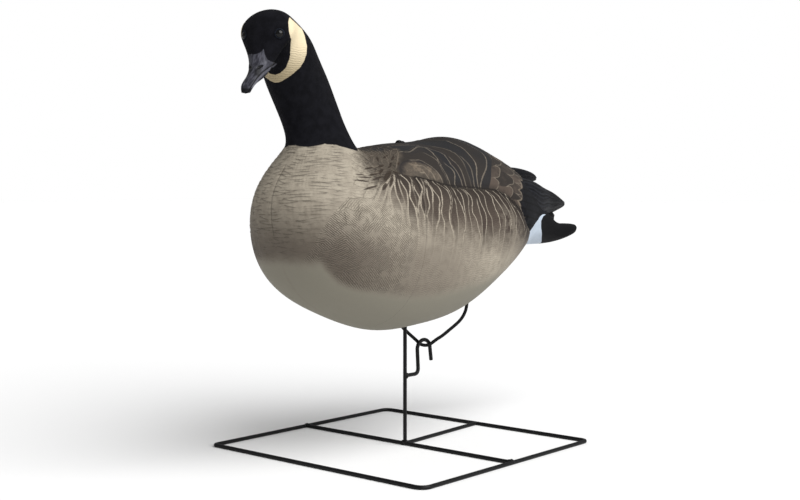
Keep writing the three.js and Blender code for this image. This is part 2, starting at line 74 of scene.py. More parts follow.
# Sections of the goose from tail to bill, on the middle plane: back y, z, belly y, z, half width,
# level of the widest point, fullness of the upper and of the lower half
STATIONS = np.array([
    (367, 278, 367.5, 270, 21.5, 0.5, 2.4, 2.4),
    (342, 278.5, 345.5, 259.5, 36.5, 0.5, 2.4, 2.35),
    (304, 286, 307.5, 249.5, 40, 0.5, 2.2, 2.05),
    (265.5, 309.5, 260, 248.5, 48, 0.5, 2.1, 2),
    (221.5, 341, 204, 240, 62.5, 0.5, 2, 2.05),
    (174, 367, 149, 213.5, 84.5, 0.48, 1.95, 2.15),
    (124, 383.5, 94, 185.5, 100.5, 0.48, 2, 2.15),
    (76, 396, 37.5, 163, 107.5, 0.48, 1.9, 2.25),
    (23, 389, -22, 155, 109.5, 0.48, 1.85, 2.2),
    (-35.5, 384, -73, 155, 108, 0.49, 1.95, 2.05),
    (-83, 377, -136.5, 176, 103.5, 0.5, 2, 2.15),
    (-111, 376.5, -191.5, 208, 94, 0.49, 2, 2.25),
    (-123.5, 383.5, -223, 259.5, 76.5, 0.47, 2, 2.3),
    (-125.5, 399.5, -230.5, 313, 53, 0.46, 2, 2.25),
    (-128, 417.5, -212, 349.5, 32.5, 0.48, 2, 2.05),
    (-134.5, 436.5, -198.5, 378.5, 26.5, 0.5, 2, 2),
    (-147, 462.5, -212, 412.5, 28, 0.5, 2, 2),
    (-168.5, 487, -230, 441, 30.5, 0.5, 2, 2),
    (-195.5, 507.5, -242.5, 460, 30, 0.55, 1.95, 2),
    (-230, 522, -249.5, 467, 28.5, 0.55, 1.9, 1.9),
    (-259, 520.5, -253.5, 474, 31.5, 0.52, 2, 1.8),
    (-274, 497, -256, 470.5, 23.5, 0.45, 2.05, 1.8),
    (-279.5, 471.5, -261.5, 461, 15, 0.4, 2, 2),
    (-285.5, 456.5, -271, 449, 10.8, 0.4, 2, 2),
    (-293, 447.5, -285, 441, 8.8, 0.45, 2, 2),
    (-300.5, 438, -297, 435.5, 8, 0.5, 2.2, 2.2),
    (-304, 430, -302, 428.5, 5.4, 0.5, 2.2, 2.2),
])
NECK = 14  # the station where the neck starts, and the head begins to turn
TURN_ENDS = 18
HEAD_TURN = math.radians(18.2)
TURN_AXIS_Y = -197
BODY_ROWS = 19  # rows of the mesh per station up to the neck
HEAD_ROWS = 11
RING_POINTS = 244
END_DOME = 1.5
FAR_OFF = 30  # the distance given to a feather's edge that isn't near
STATION_MM = 43  # about one station's length at the rump, and below it at the neck
NECK_STATION_MM = 24
DEGREE_MM = 1.8  # about one degree's length round the belly
LEAST_RISE = 0.012  # the least that a feather field is taken to rise per millimetre
COVERT_MM = 13  # a covert's length, and its width round the back
COVERT_WIDE = 13.5
COVERT_SLANT = 1.43  # how much further forward their ends lie for each millimetre to the side
COVERT_END_Y = 257.5  # where the last of them end in the middle of the back
COVERT_NORM = 1.744  # the slope's length, which turns the sum along it into a distance
BACK_RADIUS = 95  # arcs round the back and round the breast are measured at this radius
BACK_AXIS_Z = 240
BREAST_WIDE = 31  # a breast feather's width round the breast
BREAST_AXIS_Y = -110
BREAST_REAR = 9  # the station behind which the breast has no rows
FAN_DEGREES = 9  # a fan feather's width as seen from the whorl

# The crease over the flank's feathers, as [y, z] from the shoulder back, and as [station, degrees]
WING_CREASE = [
    (-100, 347), (-68, 344), (-20, 334), (31, 331), (67, 328), (95, 316), (120, 301), (147, 280)]
CREASE_ON_LOFT = [
    (10.19, 135), (9.44, 132), (8.88, 128), (8.50, 124), (7.56, 120), (6.88, 117), (6.31, 111),
    (5.81, 103), (5.25, 88)]
WHORL_ON_LOFT = (10.06, 139)
# Folded feathers from tip to root: back y, z, belly y, z, centre x, half width
FLIGHT_FEATHERS = np.array([
    (335.5, 311, 336, 302.5, 16.5, 5.3),
    (321, 316, 320, 298, 18, 9.2),
    (297, 323.5, 296.5, 293, 20.5, 14.2),
    (268, 329.5, 267.5, 289, 25, 18),
    (235.5, 336.5, 234.5, 285, 33, 21.3),
    (200.5, 342.5, 199.5, 287, 39, 23.4),
    (165.5, 345, 165, 294.5, 44, 23.3),
])
TERTIALS = np.array([
    (274, 345.5, 272.5, 342, 10, 4),
    (268, 348.5, 267, 338.5, 10.3, 7.8),
    (253.5, 353, 253, 336.5, 11, 11.5),
    (230, 356.5, 229.5, 335.5, 12.7, 14.4),
    (200, 358, 200, 336, 14, 16),
    (165, 355, 165, 335, 16, 16.5),
])
TAIL_COVERTS = np.array([
    (311, 297, 312, 281, 0, 20),
    (300, 303, 300, 272, 0, 25),
    (270, 316, 270, 262, 0, 31),
    (235, 322, 235, 262, 0, 36),
])
LOBE_FULLNESS = 2.6
LOBE_ROWS = 14
LOBE_RING = 96

# The tips of the feathers of the flank, the shoulder's fan, the wing's arcs, the breast and the coverts: how
# many rows long they are, how sharp, and the power of the round ones
TAPERS = (1.35, 1.35, 1.35, 0.62, 0.5)
SHARPS = (0.45, 0.45, 0.45, 0.15, 0.1)
POWERS = (2.6, 2.6, 2.6, 2.0, 4.0)

# Edges of the paint in the side view
BROWN_EDGE = [
    (-118, 398), (-134, 383), (-146, 366), (-154, 350), (-152, 335), (-140, 315), (-114, 293), (-62, 272),
    (11, 262), (109, 249), (150, 230), (190, 212)]
BREAST_EDGE = [
    (-150, 384), (-157, 370), (-166, 349), (-175, 325), (-191, 310), (-202, 298), (-211, 280), (-214, 262),
    (-214, 240)]
STRAP = [
    (-252, 517), (-249.4, 513.7), (-240, 511.5), (-231.7, 507.5), (-223.5, 501), (-219.4, 492),
    (-219.9, 482.7), (-222.3, 470.3), (-224.6, 458.7), (-228.3, 449.9), (-230.5, 444.2), (-240, 434),
    (-253, 448), (-240.5, 456), (-238.4, 461.8), (-243, 473.3), (-250, 480), (-254.5, 487.1),
    (-258.2, 497.6), (-257, 508.4)]
# Edges that are placed by station: [degrees from the belly, station]
SOCK_EDGE = [
    (0, 14.95), (11, 14.94), (26, 14.81), (44, 14.6), (57, 14.44), (81, 14.06), (101, 13.56), (115, 13.06),
    (136, 12.31), (160, 12), (180, 11.9)]
FLANK_REAR = [
    (0, 4.5), (30, 4.2), (45, 4.15), (50, 4.3), (60, 4.55), (70, 4.8), (78, 4.95), (84, 5.1), (90, 5.25),
    (97, 5.38), (108, 5.62), (117, 5.69), (180, 5.9)]
WHITE_FRONT = [
    (0, 4.6), (30, 4.3), (45, 4.25), (50, 4.4), (60, 4.65), (70, 4.9), (77, 5), (80, 4.5), (84, 4.15),
    (89, 4), (95, 3.75), (104, 3.3), (180, 2.2)]
WHITE_REAR = [(0, 2.5), (25, 2.62), (50, 3.2), (70, 3.62), (83, 3.81), (92, 3.7), (103, 3.35), (180, 2.8)]
SMOOTH_BELLY = [
    (0, 11.69), (17, 11.62), (33, 11.5), (35, 10.94), (45, 10.12), (52, 9.0), (58, 7.69), (54, 6.56),
    (40, 5.6), (0, 5.4)]
# The flank's feather edges from front to rear: drawn y at unrolled heights from 350 down to 270 mm, then the
# heights between which the edge shows, and how strongly
FLANK_LEVELS = (350, 340, 330, 320, 310, 300, 290, 280, 270)
FLANK_LINES = [
    (-111, -123, -138, -147, -154, -160, -166, -170, -174, 316, 352, 0.9),
    (-111, -119, -129, -138, -146, -152, -157, -161, -164, 300, 337, 0.8),
    (-110, -117, -128, -134, -140, -149, -154, -158, -160, 294, 336, 0.5),
    (-109, -115, -125, -131, -132, -132, -133, -134, -135, 284, 350, 0.9),
    (-108, -115, -119, -121, -119, -119, -121, -124, -126, 280, 350, 1),
    (-103, -108, -111, -112, -113, -114, -115, -116, -117, 322, 342, 0.7),
    (-100, -104, -103, -104, -109, -112, -112, -112, -112, 284, 340, 1),
    (-97, -92, -95, -101, -98, -97, -97, -97, -97, 280, 350, 1),
    (-80, -85, -90, -92, -93, -96, -96, -96, -96, 335, 350, 0.5),
    (-78, -84, -88, -86, -91, -95, -95, -95, -95, 300, 333, 0.9),
    (-70, -73, -74, -83, -88, -85, -85, -86, -87, 292, 348, 1),
    (-62, -66, -71, -76, -79, -82, -84, -84, -84, 330, 347, 0.45),
    (-60, -63, -68, -71, -72, -80, -83, -83, -83, 295, 329, 1),
    (-57, -59, -58, -62, -66, -70, -73, -75, -77, 313, 345, 1),
    (-56, -58, -57, -52, -54, -58, -62, -69, -72, 282, 345, 1),
    (-44, -45, -43, -45, -50, -55, -53, -54, -55, 274, 346, 1),
    (-41, -37, -30, -29, -32, -39, -41, -39, -37, 272, 345, 1),
    (-35, -28, -26, -28, -31, -38, -40, -38, -36, 326, 342, 0.9),
    (-25, -22, -21, -23, -24, -26, -27, -28, -30, 274, 316, 0.6),
    (-19, -17, -16, -17, -14, -12, -12, -15, -20, 264, 338, 1),
    (-12, -9, -8, -6, -8, -11, -11, -14, -19, 300, 339, 1),
    (-4, -2, 3, 5, 1, -2, -2, -2, -3, 273, 342, 0.5),
    (-2, 1, 5, 10, 8, 4, 9, 11, 14, 266, 340, 1),
    (13, 15, 18, 20, 19, 19, 19, 18, 17, 276, 314, 0.7),
    (18, 20, 23, 25, 25, 29, 30, 27, 24, 274, 340, 1),
    (28, 30, 33, 36, 34, 35, 40, 40, 41, 273, 338, 0.6),
    (40, 43, 46, 50, 50, 54, 57, 57, 56, 272, 338, 1),
    (41, 44, 47, 53, 61, 67, 71, 69, 67, 262, 322, 1),
    (50, 55, 60, 66, 73, 81, 85, 84, 83, 272, 336, 0.9),
    (63, 67, 72, 77, 83, 89, 93, 92, 91, 296, 330, 0.5),
    (76, 80, 85, 88, 89, 95, 101, 100, 99, 270, 328, 1),
    (77, 81, 86, 89, 95, 107, 116, 126, 132, 274, 318, 1),
    (96, 100, 104, 108, 115, 126, 132, 136, 136, 268, 316, 0.9),
    (104, 108, 112, 117, 123, 131, 143, 149, 152, 275, 316, 0.8),
    (118, 122, 126, 131, 138, 146, 155, 162, 166, 262, 312, 0.8),
    (130, 134, 140, 146, 152, 160, 168, 175, 178, 262, 306, 0.7)]

# The wing's long feather edges, from the shoulder outwards: their distance from ARC_CENTRE at nine angles up
# from level, then the angles between which the edge shows, and how strongly
ARC_CENTRE = (-60, 340)
ARC_LEVELS = (-5, 5, 15, 25, 35, 45, 55, 65, 75)
ARC_LINES = [
    (33, 33, 33, 34, 35, 36, 38, 40, 38, 8, 90, 0.8),
    (43, 43, 44, 48, 58, 64, 66, 58, 50, 32, 52, 0.7),
    (44, 44, 45, 49, 59, 81, 88, 70, 58, -9, 100, 1),
    (55, 57, 65, 66, 70, 84, 89, 75, 63, -9, 27, 0.9),
    (68, 69, 70, 76, 89, 90, 94, 88, 82, -9, 100, 0.7),
    (74, 75, 81, 86, 92, 96, 98, 92, 86, -9, 28, 0.7),
    (84, 85, 93, 105, 108, 104, 104, 98, 92, 17, 44, 0.5),
    (90, 92, 102, 106, 110, 112, 116, 114, 110, -9, 23, 0.6),
    (98, 99, 116, 127, 137, 137, 130, 122, 118, -9, 60, 1),
    (99, 112, 147, 152, 156, 158, 150, 140, 130, -9, 34, 0.8),
    (125, 140, 165, 172, 176, 178, 170, 160, 150, -9, 40, 0.4)]

# Dark and pale slivers round the shoulder's whorl: middle, half length, half width and turn in degrees
DARK_SLIVERS = [
    (-161, 337, 10, 1.0, -3), (-153, 329.5, 12, 1.3, 16), (-154.5, 341.5, 11, 0.9, 4),
    (-138, 342, 11, 1.2, 21), (-160, 344.5, 6, 0.7, 0), (-141, 355, 10, 1.1, 22), (-140, 347, 9, 1.3, 18),
    (-125, 354, 9, 1.7, 35), (-119, 348, 16, 2.9, 38), (-120, 338.5, 10, 2.2, 48), (-133, 332, 8, 2.2, 41),
    (-101, 354, 6, 1.6, -15), (-117, 364, 8, 1.7, 25), (-84, 372, 6, 1.9, 50),
    (-119.5, 379.5, 5, 1.2, -30), (-110, 379, 9, 1.6, 58), (-91, 387, 10, 1.6, 33),
    (-83, 383, 10, 1.5, 38), (-101, 367, 10, 1.5, 40)]
PALE_SLIVERS = [
    (-111, 388, 7, 0.8, 30), (-117, 377, 10, 0.8, 47), (-106, 377, 9, 0.8, 65), (-95, 379, 19, 0.9, 57),
    (-78, 380, 31, 1.1, 46), (-60, 406, 7, 0.9, -5), (-127, 361, 9, 0.8, 24), (-135, 350, 9, 0.8, 20)]

# The lower edge of the shoulder's whorl, from the breast to the crease
SHOULDER_LINE = [
    (-215, 262), (-185, 285), (-165, 305), (-154, 318), (-146, 327), (-138, 335), (-128, 341), (-118, 346),
    (-105, 353)]
# Where the wing's long feathers begin behind the whorl
ARC_EDGE = [
    (-62, 470), (-56, 430), (-54, 408), (-61, 395), (-67, 388), (-80, 377), (-94, 365), (-101, 352),
    (-104, 330)]

# Edges on the head's left as the main camera draws them, in pixels of its 800 x 500 frame
STRAP_EDGE = [
    (289.3, 17.2), (288.3, 21.7), (288.9, 30.6), (290.8, 39.5), (290.5, 48.4), (289.9, 57.4),
    (286.1, 67.6), (279.7, 73.3), (274.6, 74.9), (268.3, 76.5), (264.4, 78.1), (258, 79.9), (258, 80.3),
    (265.7, 80.6), (271.4, 82.8), (279.7, 82.2), (291.1, 75.2), (300.1, 67.5), (303.9, 61.1),
    (306.4, 54.1), (306.8, 45.9), (304.5, 35.7), (302, 29.3), (296.9, 24.2)]
LIP_LINE = [(279, 63.4), (271, 68.2), (264.5, 73.0), (258, 79.5), (252.5, 87.5), (249, 94)]
BILL_EDGE = [
    (236, 52), (247.7, 53.6), (256, 54.2), (260.5, 52.3), (263.7, 48.7), (265, 55), (267.7, 59.8),
    (272, 61.8), (277.2, 63.7), (273.4, 67.3), (270.6, 70.6), (264.5, 77), (258, 86), (250, 99), (232, 99)]
BILL_MIDDLE_X = 246
BILL_TOP_Y = 53.5
NOSTRIL_AT = (260.3, 66.6)
# The dip by the nostril, which the bill's paint darkens as painted shade
HOLLOW_AT = (257.5, 72)

# The main camera, solved from the stand's rectangular ring
CAMERA_AT = np.array([991.3, -1159, 325])
CAMERA_TURN = math.radians(40.78)
CAMERA_DIP = math.radians(2.81)
CAMERA_FOCUS = 1202  # in pixels of a frame 800 wide
FRAME_SIZE = (800, 500)
CAMERA_RIGHT = np.array([math.cos(CAMERA_TURN), math.sin(CAMERA_TURN), 0])
CAMERA_BACK = np.array([math.sin(CAMERA_TURN) * math.cos(CAMERA_DIP),
                        -math.cos(CAMERA_TURN) * math.cos(CAMERA_DIP), math.sin(CAMERA_DIP)])
CAMERA_UP = np.cross(CAMERA_BACK, CAMERA_RIGHT)

# The stand and the cord. The bars end inside the ring's wire, where the welds are
WIRE_RADIUS = 2.45
BAR_INSET = 1.2
RING_WIDTH = 346
RING_DEPTH = 332
RING_OFFSET = -4.7
RING_BENDS = (12, 8, 12, 5)
BRACE_LEAN = -12 / 166
WIRE_SIDES = 20
ROD_TOP = 370
ARM_HEIGHT = 89.4  # of the hook's arm
HOOK_REACH = 26
HOOK_BEND = 7
HOOK_LEG = 31.6
LEG_LEAN = 1.6
ARCH_WIDTH = 25.6
ARCH_RISE = 11.2
HOOK_TAIL = 17.4
TAIL_LEAN = 2.6
WELDS = (
    ("weld_left", (RING_OFFSET + 171, 0, 3.6), (4.6, 3.4, 2.6)),
    ("weld_right", (RING_OFFSET - 171, 0, 3.6), (4.6, 3.4, 2.6)),
    ("weld_rear", (BRACE_LEAN * 164, 164, 3.2), (3.4, 4.4, 2.2)),
    ("weld_brace", (-0.3, 3, 2.8), (3.6, 3.2, 2.3)),
    ("weld_foot", (0, 0, 4.6), (4.6, 3.9, 2.9)),
    ("weld_hook", (0, 3, ARM_HEIGHT), (3.3, 2.6, 3.6)),
)
CORD_RADIUS = 2.2
CORD_ASIDE = 5.225  # from the middle plane, where it passes beside the rod and the hook
CORD_ROUTE = np.array([  # sideways in shares of CORD_ASIDE, then y and z
    (-1, -6, 157.4), (-1, 0.7, 151.6), (-1, 10, 144.6), (-1, 19.7, 137.8), (-1, 29.8, 131),
    (-0.75, 33.6, 127), (0, 38, 124.9), (0.75, 42.4, 125.2), (1, 46.2, 126.9), (1, 57.6, 131.2),
    (1, 69.1, 134.8), (1, 86.6, 142.2), (1, 104.7, 150.6), (1, 113.6, 157.1), (1, 119, 163.9),
    (1, 121.8, 171.6), (1, 123, 182), (1, 123.8, 194), (1, 124, 204)])

# The eyes and the cap
EYE_RADIUS = 5.6
EYE_PROUD = 2.4
EYE_STATION = 20.83
EYE_ANGLE = math.radians(121)


# Values that are numpy arrays on the mesh and node sockets in a material

class Knot:
    """A value in a material's node tree: arithmetic on it adds Math nodes."""

    def __init__(self, tree, socket):
        self.tree = tree
        self.socket = socket

    def math(self, operation, *others):
        node = self.tree.nodes.new("ShaderNodeMath")
        node.operation = operation
        self.tree.links.new(self.socket, node.inputs[0])
        for place, other in enumerate(others, 1):
            if isinstance(other, Knot):
                self.tree.links.new(other.socket, node.inputs[place])
            else:
                node.inputs[place].default_value = float(other)
        return Knot(self.tree, node.outputs[0])

    __add__ = __radd__ = partialmethod(math, "ADD")
    __sub__ = partialmethod(math, "SUBTRACT")
    __mul__ = __rmul__ = partialmethod(math, "MULTIPLY")
    __truediv__ = partialmethod(math, "DIVIDE")
    __pow__ = partialmethod(math, "POWER")
    __gt__ = partialmethod(math, "GREATER_THAN")

    def __rsub__(self, other):
        return self.math("MULTIPLY_ADD", -1, other)

    def __rtruediv__(self, other):
        return self.math("POWER", -1) * other


def either(operation, plain):
    """A function that adds a Math node to a knot, and is numpy's own for an array."""
    def applied(value, *others):
        return value.math(operation, *others) if isinstance(value, Knot) else plain(value, *others)
    return applied


floor = either("FLOOR", np.floor)
absolute = either("ABSOLUTE", np.abs)
root = either("SQRT", np.sqrt)
sine = either("SINE", np.sin)
exponent = either("EXPONENT", np.exp)
lesser = either("MINIMUM", np.minimum)
greater = either("MAXIMUM", np.maximum)


def fading(value):
    """e to the power of minus the value."""
    return exponent(value * -1)


def from_middle(value):
    """How far a value is from the nearest whole number."""
    return absolute(value - floor(value + 0.5))


def pick(a, b, share):
    """What lies between a, where share is 0, and b, where it is 1."""
    return a + (b - a) * share


def smooth(low, high, value):
    if isinstance(value, Knot):
        node = value.tree.nodes.new("ShaderNodeMapRange")
        node.interpolation_type = "SMOOTHSTEP"
        value.tree.links.new(value.socket, node.inputs["Value"])
        flip = low > high
        node.inputs["From Min"].default_value = high if flip else low
        node.inputs["From Max"].default_value = low if flip else high
        node.inputs["To Min"].default_value = 1.0 if flip else 0.0
        node.inputs["To Max"].default_value = 0.0 if flip else 1.0
        return Knot(value.tree, node.outputs["Result"])
    share = np.clip((value - low) / (high - low), 0, 1)
    return share * share * (3 - 2 * share)


def scales(x, d, taper, sharp, power, row, column):
    """Feathers laid like roof tiles, their tips towards greater d, half a place apart from row to row.

    x counts feathers across and d rows; row and column are the millimetres of one of each. A tip is taper
    rows long, pointed where sharp is 1 and rounded by the power where it is 0. It gives the distance to the
    feather's own edge, the distance to the edge that lies over it, how far the place is from the feather's
    middle line (0 to 0.5), and a number that differs from feather to feather.
    """
    base = floor(d)
    edge = over = off = seed = None
    for step in (2, 1, 0, -1):
        number = base + step
        shift = number * 0.5 - floor(number * 0.5)
        centre = floor(x - shift + 0.5)
        aside = absolute(x - shift - centre)
        wide = greater(aside * 2, 0.001)
        mark = centre * 1.618 + number * 7.31
        reach = number + 1 + sine(mark * 3.7) * 0.22 - d - taper * pick(wide ** power, wide, sharp)
        slope = taper * 2 / column * pick(power * wide ** (power - 1), 1, sharp)
        distance = reach / root(slope * slope + 1 / (row * row))
        if edge is None:
            edge, over, off, seed = distance, distance * 0 + 9, aside, mark
        else:
            inside = (distance > 0) * 1.0
            over = pick(lesser(over, 0 - distance), 9, inside)
            edge = pick(edge, distance, inside)
            off = pick(off, aside, inside)
            seed = pick(seed, mark, inside)
    return edge, over, off, seed


# The loft

def splined(table, t):
    """The rows of a table at 0, 1, 2, ... joined by natural cubic splines, at every t."""
    count = len(table)
    system = np.eye(count)
    load = np.zeros_like(table)
    for i in range(1, count - 1):
        system[i, i - 1:i + 2] = (1, 4, 1)
        load[i] = 6 * (table[i - 1] - 2 * table[i] + table[i + 1])
    bend = np.linalg.solve(system, load)
    i = np.clip(np.floor(t).astype(int), 0, count - 2)
    f = (t - i)[..., None]
    g = 1 - f
    return g * table[i] + f * table[i + 1] + ((g ** 3 - g) * bend[i] + (f ** 3 - f) * bend[i + 1]) / 6


def half_section(angle, widest, upper, lower):
    """How far out and how far up a point of a section is, from its angle at the belly."""
    low = np.cos(angle) > 0
    power = 2 / np.where(low, lower, upper)
    rise = np.abs(np.cos(angle)) ** power
    out = np.abs(np.sin(angle)) ** power
    return out, np.where(low, widest * (1 - rise), widest + (1 - widest) * rise)


def drawn_point(t, angle):
    back_y, back_z, belly_y, belly_z, half, widest, upper, lower = np.moveaxis(splined(STATIONS, t), -1, 0)
    out, up = half_section(angle, widest, upper, lower)
    x = half * out * np.sign(np.sin(angle))
    return np.stack([x, pick(belly_y, back_y, up), pick(belly_z, back_z, up)], -1)


def placed(t, point):
    """Turns a drawn point with the head."""
    turn = HEAD_TURN * smooth(NECK, TURN_ENDS, t)
    x = point[..., 0]
    ahead = point[..., 1] - TURN_AXIS_Y
    turned_x = x * np.cos(turn) - ahead * np.sin(turn)
    turned_y = TURN_AXIS_Y + ahead * np.cos(turn) + x * np.sin(turn)
    return np.stack([turned_x, turned_y, point[..., 2]], -1)


def unit(vectors):
    return vectors / np.maximum(np.linalg.norm(vectors, axis=-1, keepdims=True), 1e-9)


def grid_tangents(points):
    along = np.gradient(points, axis=0)
    around = (np.roll(points, -1, 1) - np.roll(points, 1, 1)) / 2
    return along, around


def grid_normals(points):
    """Outward normals of a grid of rows that are closed rings."""
    along, around = grid_tangents(points)
    return unit(np.cross(around, along))


def steepness(values, points):
    """How fast a value on the grid changes per millimetre of its surface."""
    along, around = grid_tangents(points)
    rise_along = np.gradient(values, axis=0)
    rise_around = (np.roll(values, -1, 1) - np.roll(values, 1, 1)) / 2
    aa = np.sum(along * along, -1)
    bb = np.sum(around * around, -1)
    ab = np.sum(along * around, -1)
    area = np.maximum(aa * bb - ab * ab, 1e-6)
    squared = (bb * rise_along ** 2 - 2 * ab * rise_along * rise_around + aa * rise_around ** 2) / area
    return np.sqrt(np.maximum(squared, 0))


def line_distance(y, z, line, closed=False):
    """Signed distance to a line of points: positive on its left, or inside it where it is closed."""
    line = np.asarray(line, float)
    ends = np.roll(line, -1, 0) if closed else line[1:]
    starts = line if closed else line[:-1]
    nearest = np.full(y.shape, 1e9)
    side = np.ones(y.shape)
    crossings = np.zeros(y.shape, int)
    for (y0, z0), (y1, z1) in zip(starts, ends):
        dy, dz = y1 - y0, z1 - z0
        share = np.clip(((y - y0) * dy + (z - z0) * dz) / (dy * dy + dz * dz), 0, 1)
        distance = np.hypot(y - y0 - share * dy, z - z0 - share * dz)
        left = dy * (z - z0) - dz * (y - y0) > 0
        nearer = distance < nearest
        side = np.where(nearer, np.where(left, 1, -1), side)
        nearest = np.minimum(nearest, distance)
        if closed:
            spans = (z0 > z) != (z1 > z)
            crossings += spans & (y < y0 + (z - z0) * dy / (dz if dz else 1e-9))
    if closed:
        side = np.where(crossings % 2 == 1, 1, -1)
    return nearest * side


def looked_up(table, at):
    """A table's second column at values of its first."""
    table = np.asarray(table, float)
    return np.interp(at, table[:, 0], table[:, 1])


def waves(seed, y, z, length, count=5):
    """A smooth random field of about -1 to 1, with waves of about the given length."""
    random = np.random.RandomState(seed)
    total = np.zeros(np.shape(y))
    for turn, stretch, phase in random.rand(count, 3):
        heading = turn * 2 * math.pi
        number = 2 * math.pi / (length * (0.7 + 0.8 * stretch))
        total = total + np.sin(number * (y * math.cos(heading) + z * math.sin(heading)) + phase * 6.28)
    return total / math.sqrt(count)


def in_camera(points):
    """Where the main camera draws points, in pixels of its frame."""
    off = points - CAMERA_AT
    size = CAMERA_FOCUS / -(off @ CAMERA_BACK)
    return FRAME_SIZE[0] / 2 + size * (off @ CAMERA_RIGHT), FRAME_SIZE[1] / 2 - size * (off @ CAMERA_UP)


# Meshes

def mesh_of(name, points, faces, material, values=None, replaces=(), slot=None):
    """A smooth mesh of points in millimetres that rides on the part, with a value for each point."""
    mesh = bpy.data.meshes.new(name)
    mesh.from_pydata((np.asarray(points) * MM).tolist(), [], faces)
    mesh.polygons.foreach_set("use_smooth", [True] * len(mesh.polygons))
    for key, array in (values or {}).items():
        layer = mesh.attributes.new(key, "FLOAT_VECTOR" if array.ndim == 2 else "FLOAT", "POINT")
        field = "vector" if array.ndim == 2 else "value"
        layer.data.foreach_set(field, np.ascontiguousarray(array, dtype=np.float32).ravel())
    mesh.update()
    mesh.materials.append(material)
    piece = bpy.data.objects.new(name, mesh)
    bpy.context.scene.collection.objects.link(piece)
    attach(piece, "root")
    if replaces:
        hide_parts(*replaces)
    return piece


def ring_faces(rows, count, closed=False):
    """Quads between rings, with a fan to a hub point at each end unless the rings close on themselves."""
    faces = []
    for i in range(rows if closed else rows - 1):
        n = (i + 1) % rows
        for j in range(count):
            k = (j + 1) % count
            faces.append((i * count + j, i * count + k, n * count + k, n * count + j))
    if not closed:
        low = rows * count
        for j in range(count):
            k = (j + 1) % count
            faces.append((low, k, j))
            faces.append((low + 1, (rows - 1) * count + j, (rows - 1) * count + k))
    return faces


def with_hubs(points, dome):
    """The ring points as a list, and the two end hubs."""
    hubs = []
    for end, beside in ((0, 1), (-1, -2)):
        middle = points[end].mean(axis=0)
        hubs.append(middle + dome * unit(middle - points[beside].mean(axis=0)))
    return np.concatenate([points.reshape(-1, 3), hubs])


def hub_values(values):
    """A value on the grid as a list that ends with those of the two hubs."""
    flat = values.reshape(-1)
    return np.concatenate([flat, [values[0].mean(), values[-1].mean()]])


def packed(*grids):
    """Three values on the grid as one vector for each point."""
    return np.stack([hub_values(g) for g in grids], -1)


def grid_piece(name, points, material, dome=0.5, **more):
    return mesh_of(name, with_hubs(points, dome), ring_faces(*points.shape[:2]), material, **more)


def tube(path, radius, sides=WIRE_SIDES, closed=False, up=(0, 0, 1)):
    """Ring points of a round tube along a path."""
    path = np.asarray(path, float)
    ways = np.roll(path, -1, 0) - np.roll(path, 1, 0)
    if not closed:
        ways[0] = path[1] - path[0]
        ways[-1] = path[-1] - path[-2]
    ways = unit(ways)
    side = unit(np.cross(ways, up))
    top = np.cross(side, ways)
    angle = np.arange(sides) * 2 * math.pi / sides
    radius = np.broadcast_to(np.asarray(radius, float), (len(path),))[:, None, None]
    ring = side[:, None] * np.cos(angle)[None, :, None] + top[:, None] * np.sin(angle)[None, :, None]
    return path[:, None] + radius * ring


def resampled(path, step):
    """Points every step or so along a line of points."""
    path = np.asarray(path, float)
    gaps = np.linalg.norm(np.diff(path, axis=0), axis=1)
    marks = np.concatenate([[0], np.cumsum(gaps)])
    count = max(2, int(round(marks[-1] / step)) + 1)
    at = np.linspace(0, marks[-1], count)
    return np.stack([np.interp(at, marks, path[:, k]) for k in range(3)], -1)


# Materials

def paint(red, green, blue):
    """A colour as a screen shows it, 0 to 255, in linear light."""
    def linear(value):
        value /= 255
        return value / 12.92 if value <= 0.04045 else ((value + 0.055) / 1.055) ** 2.4
    return (linear(red), linear(green), linear(blue), 1.0)


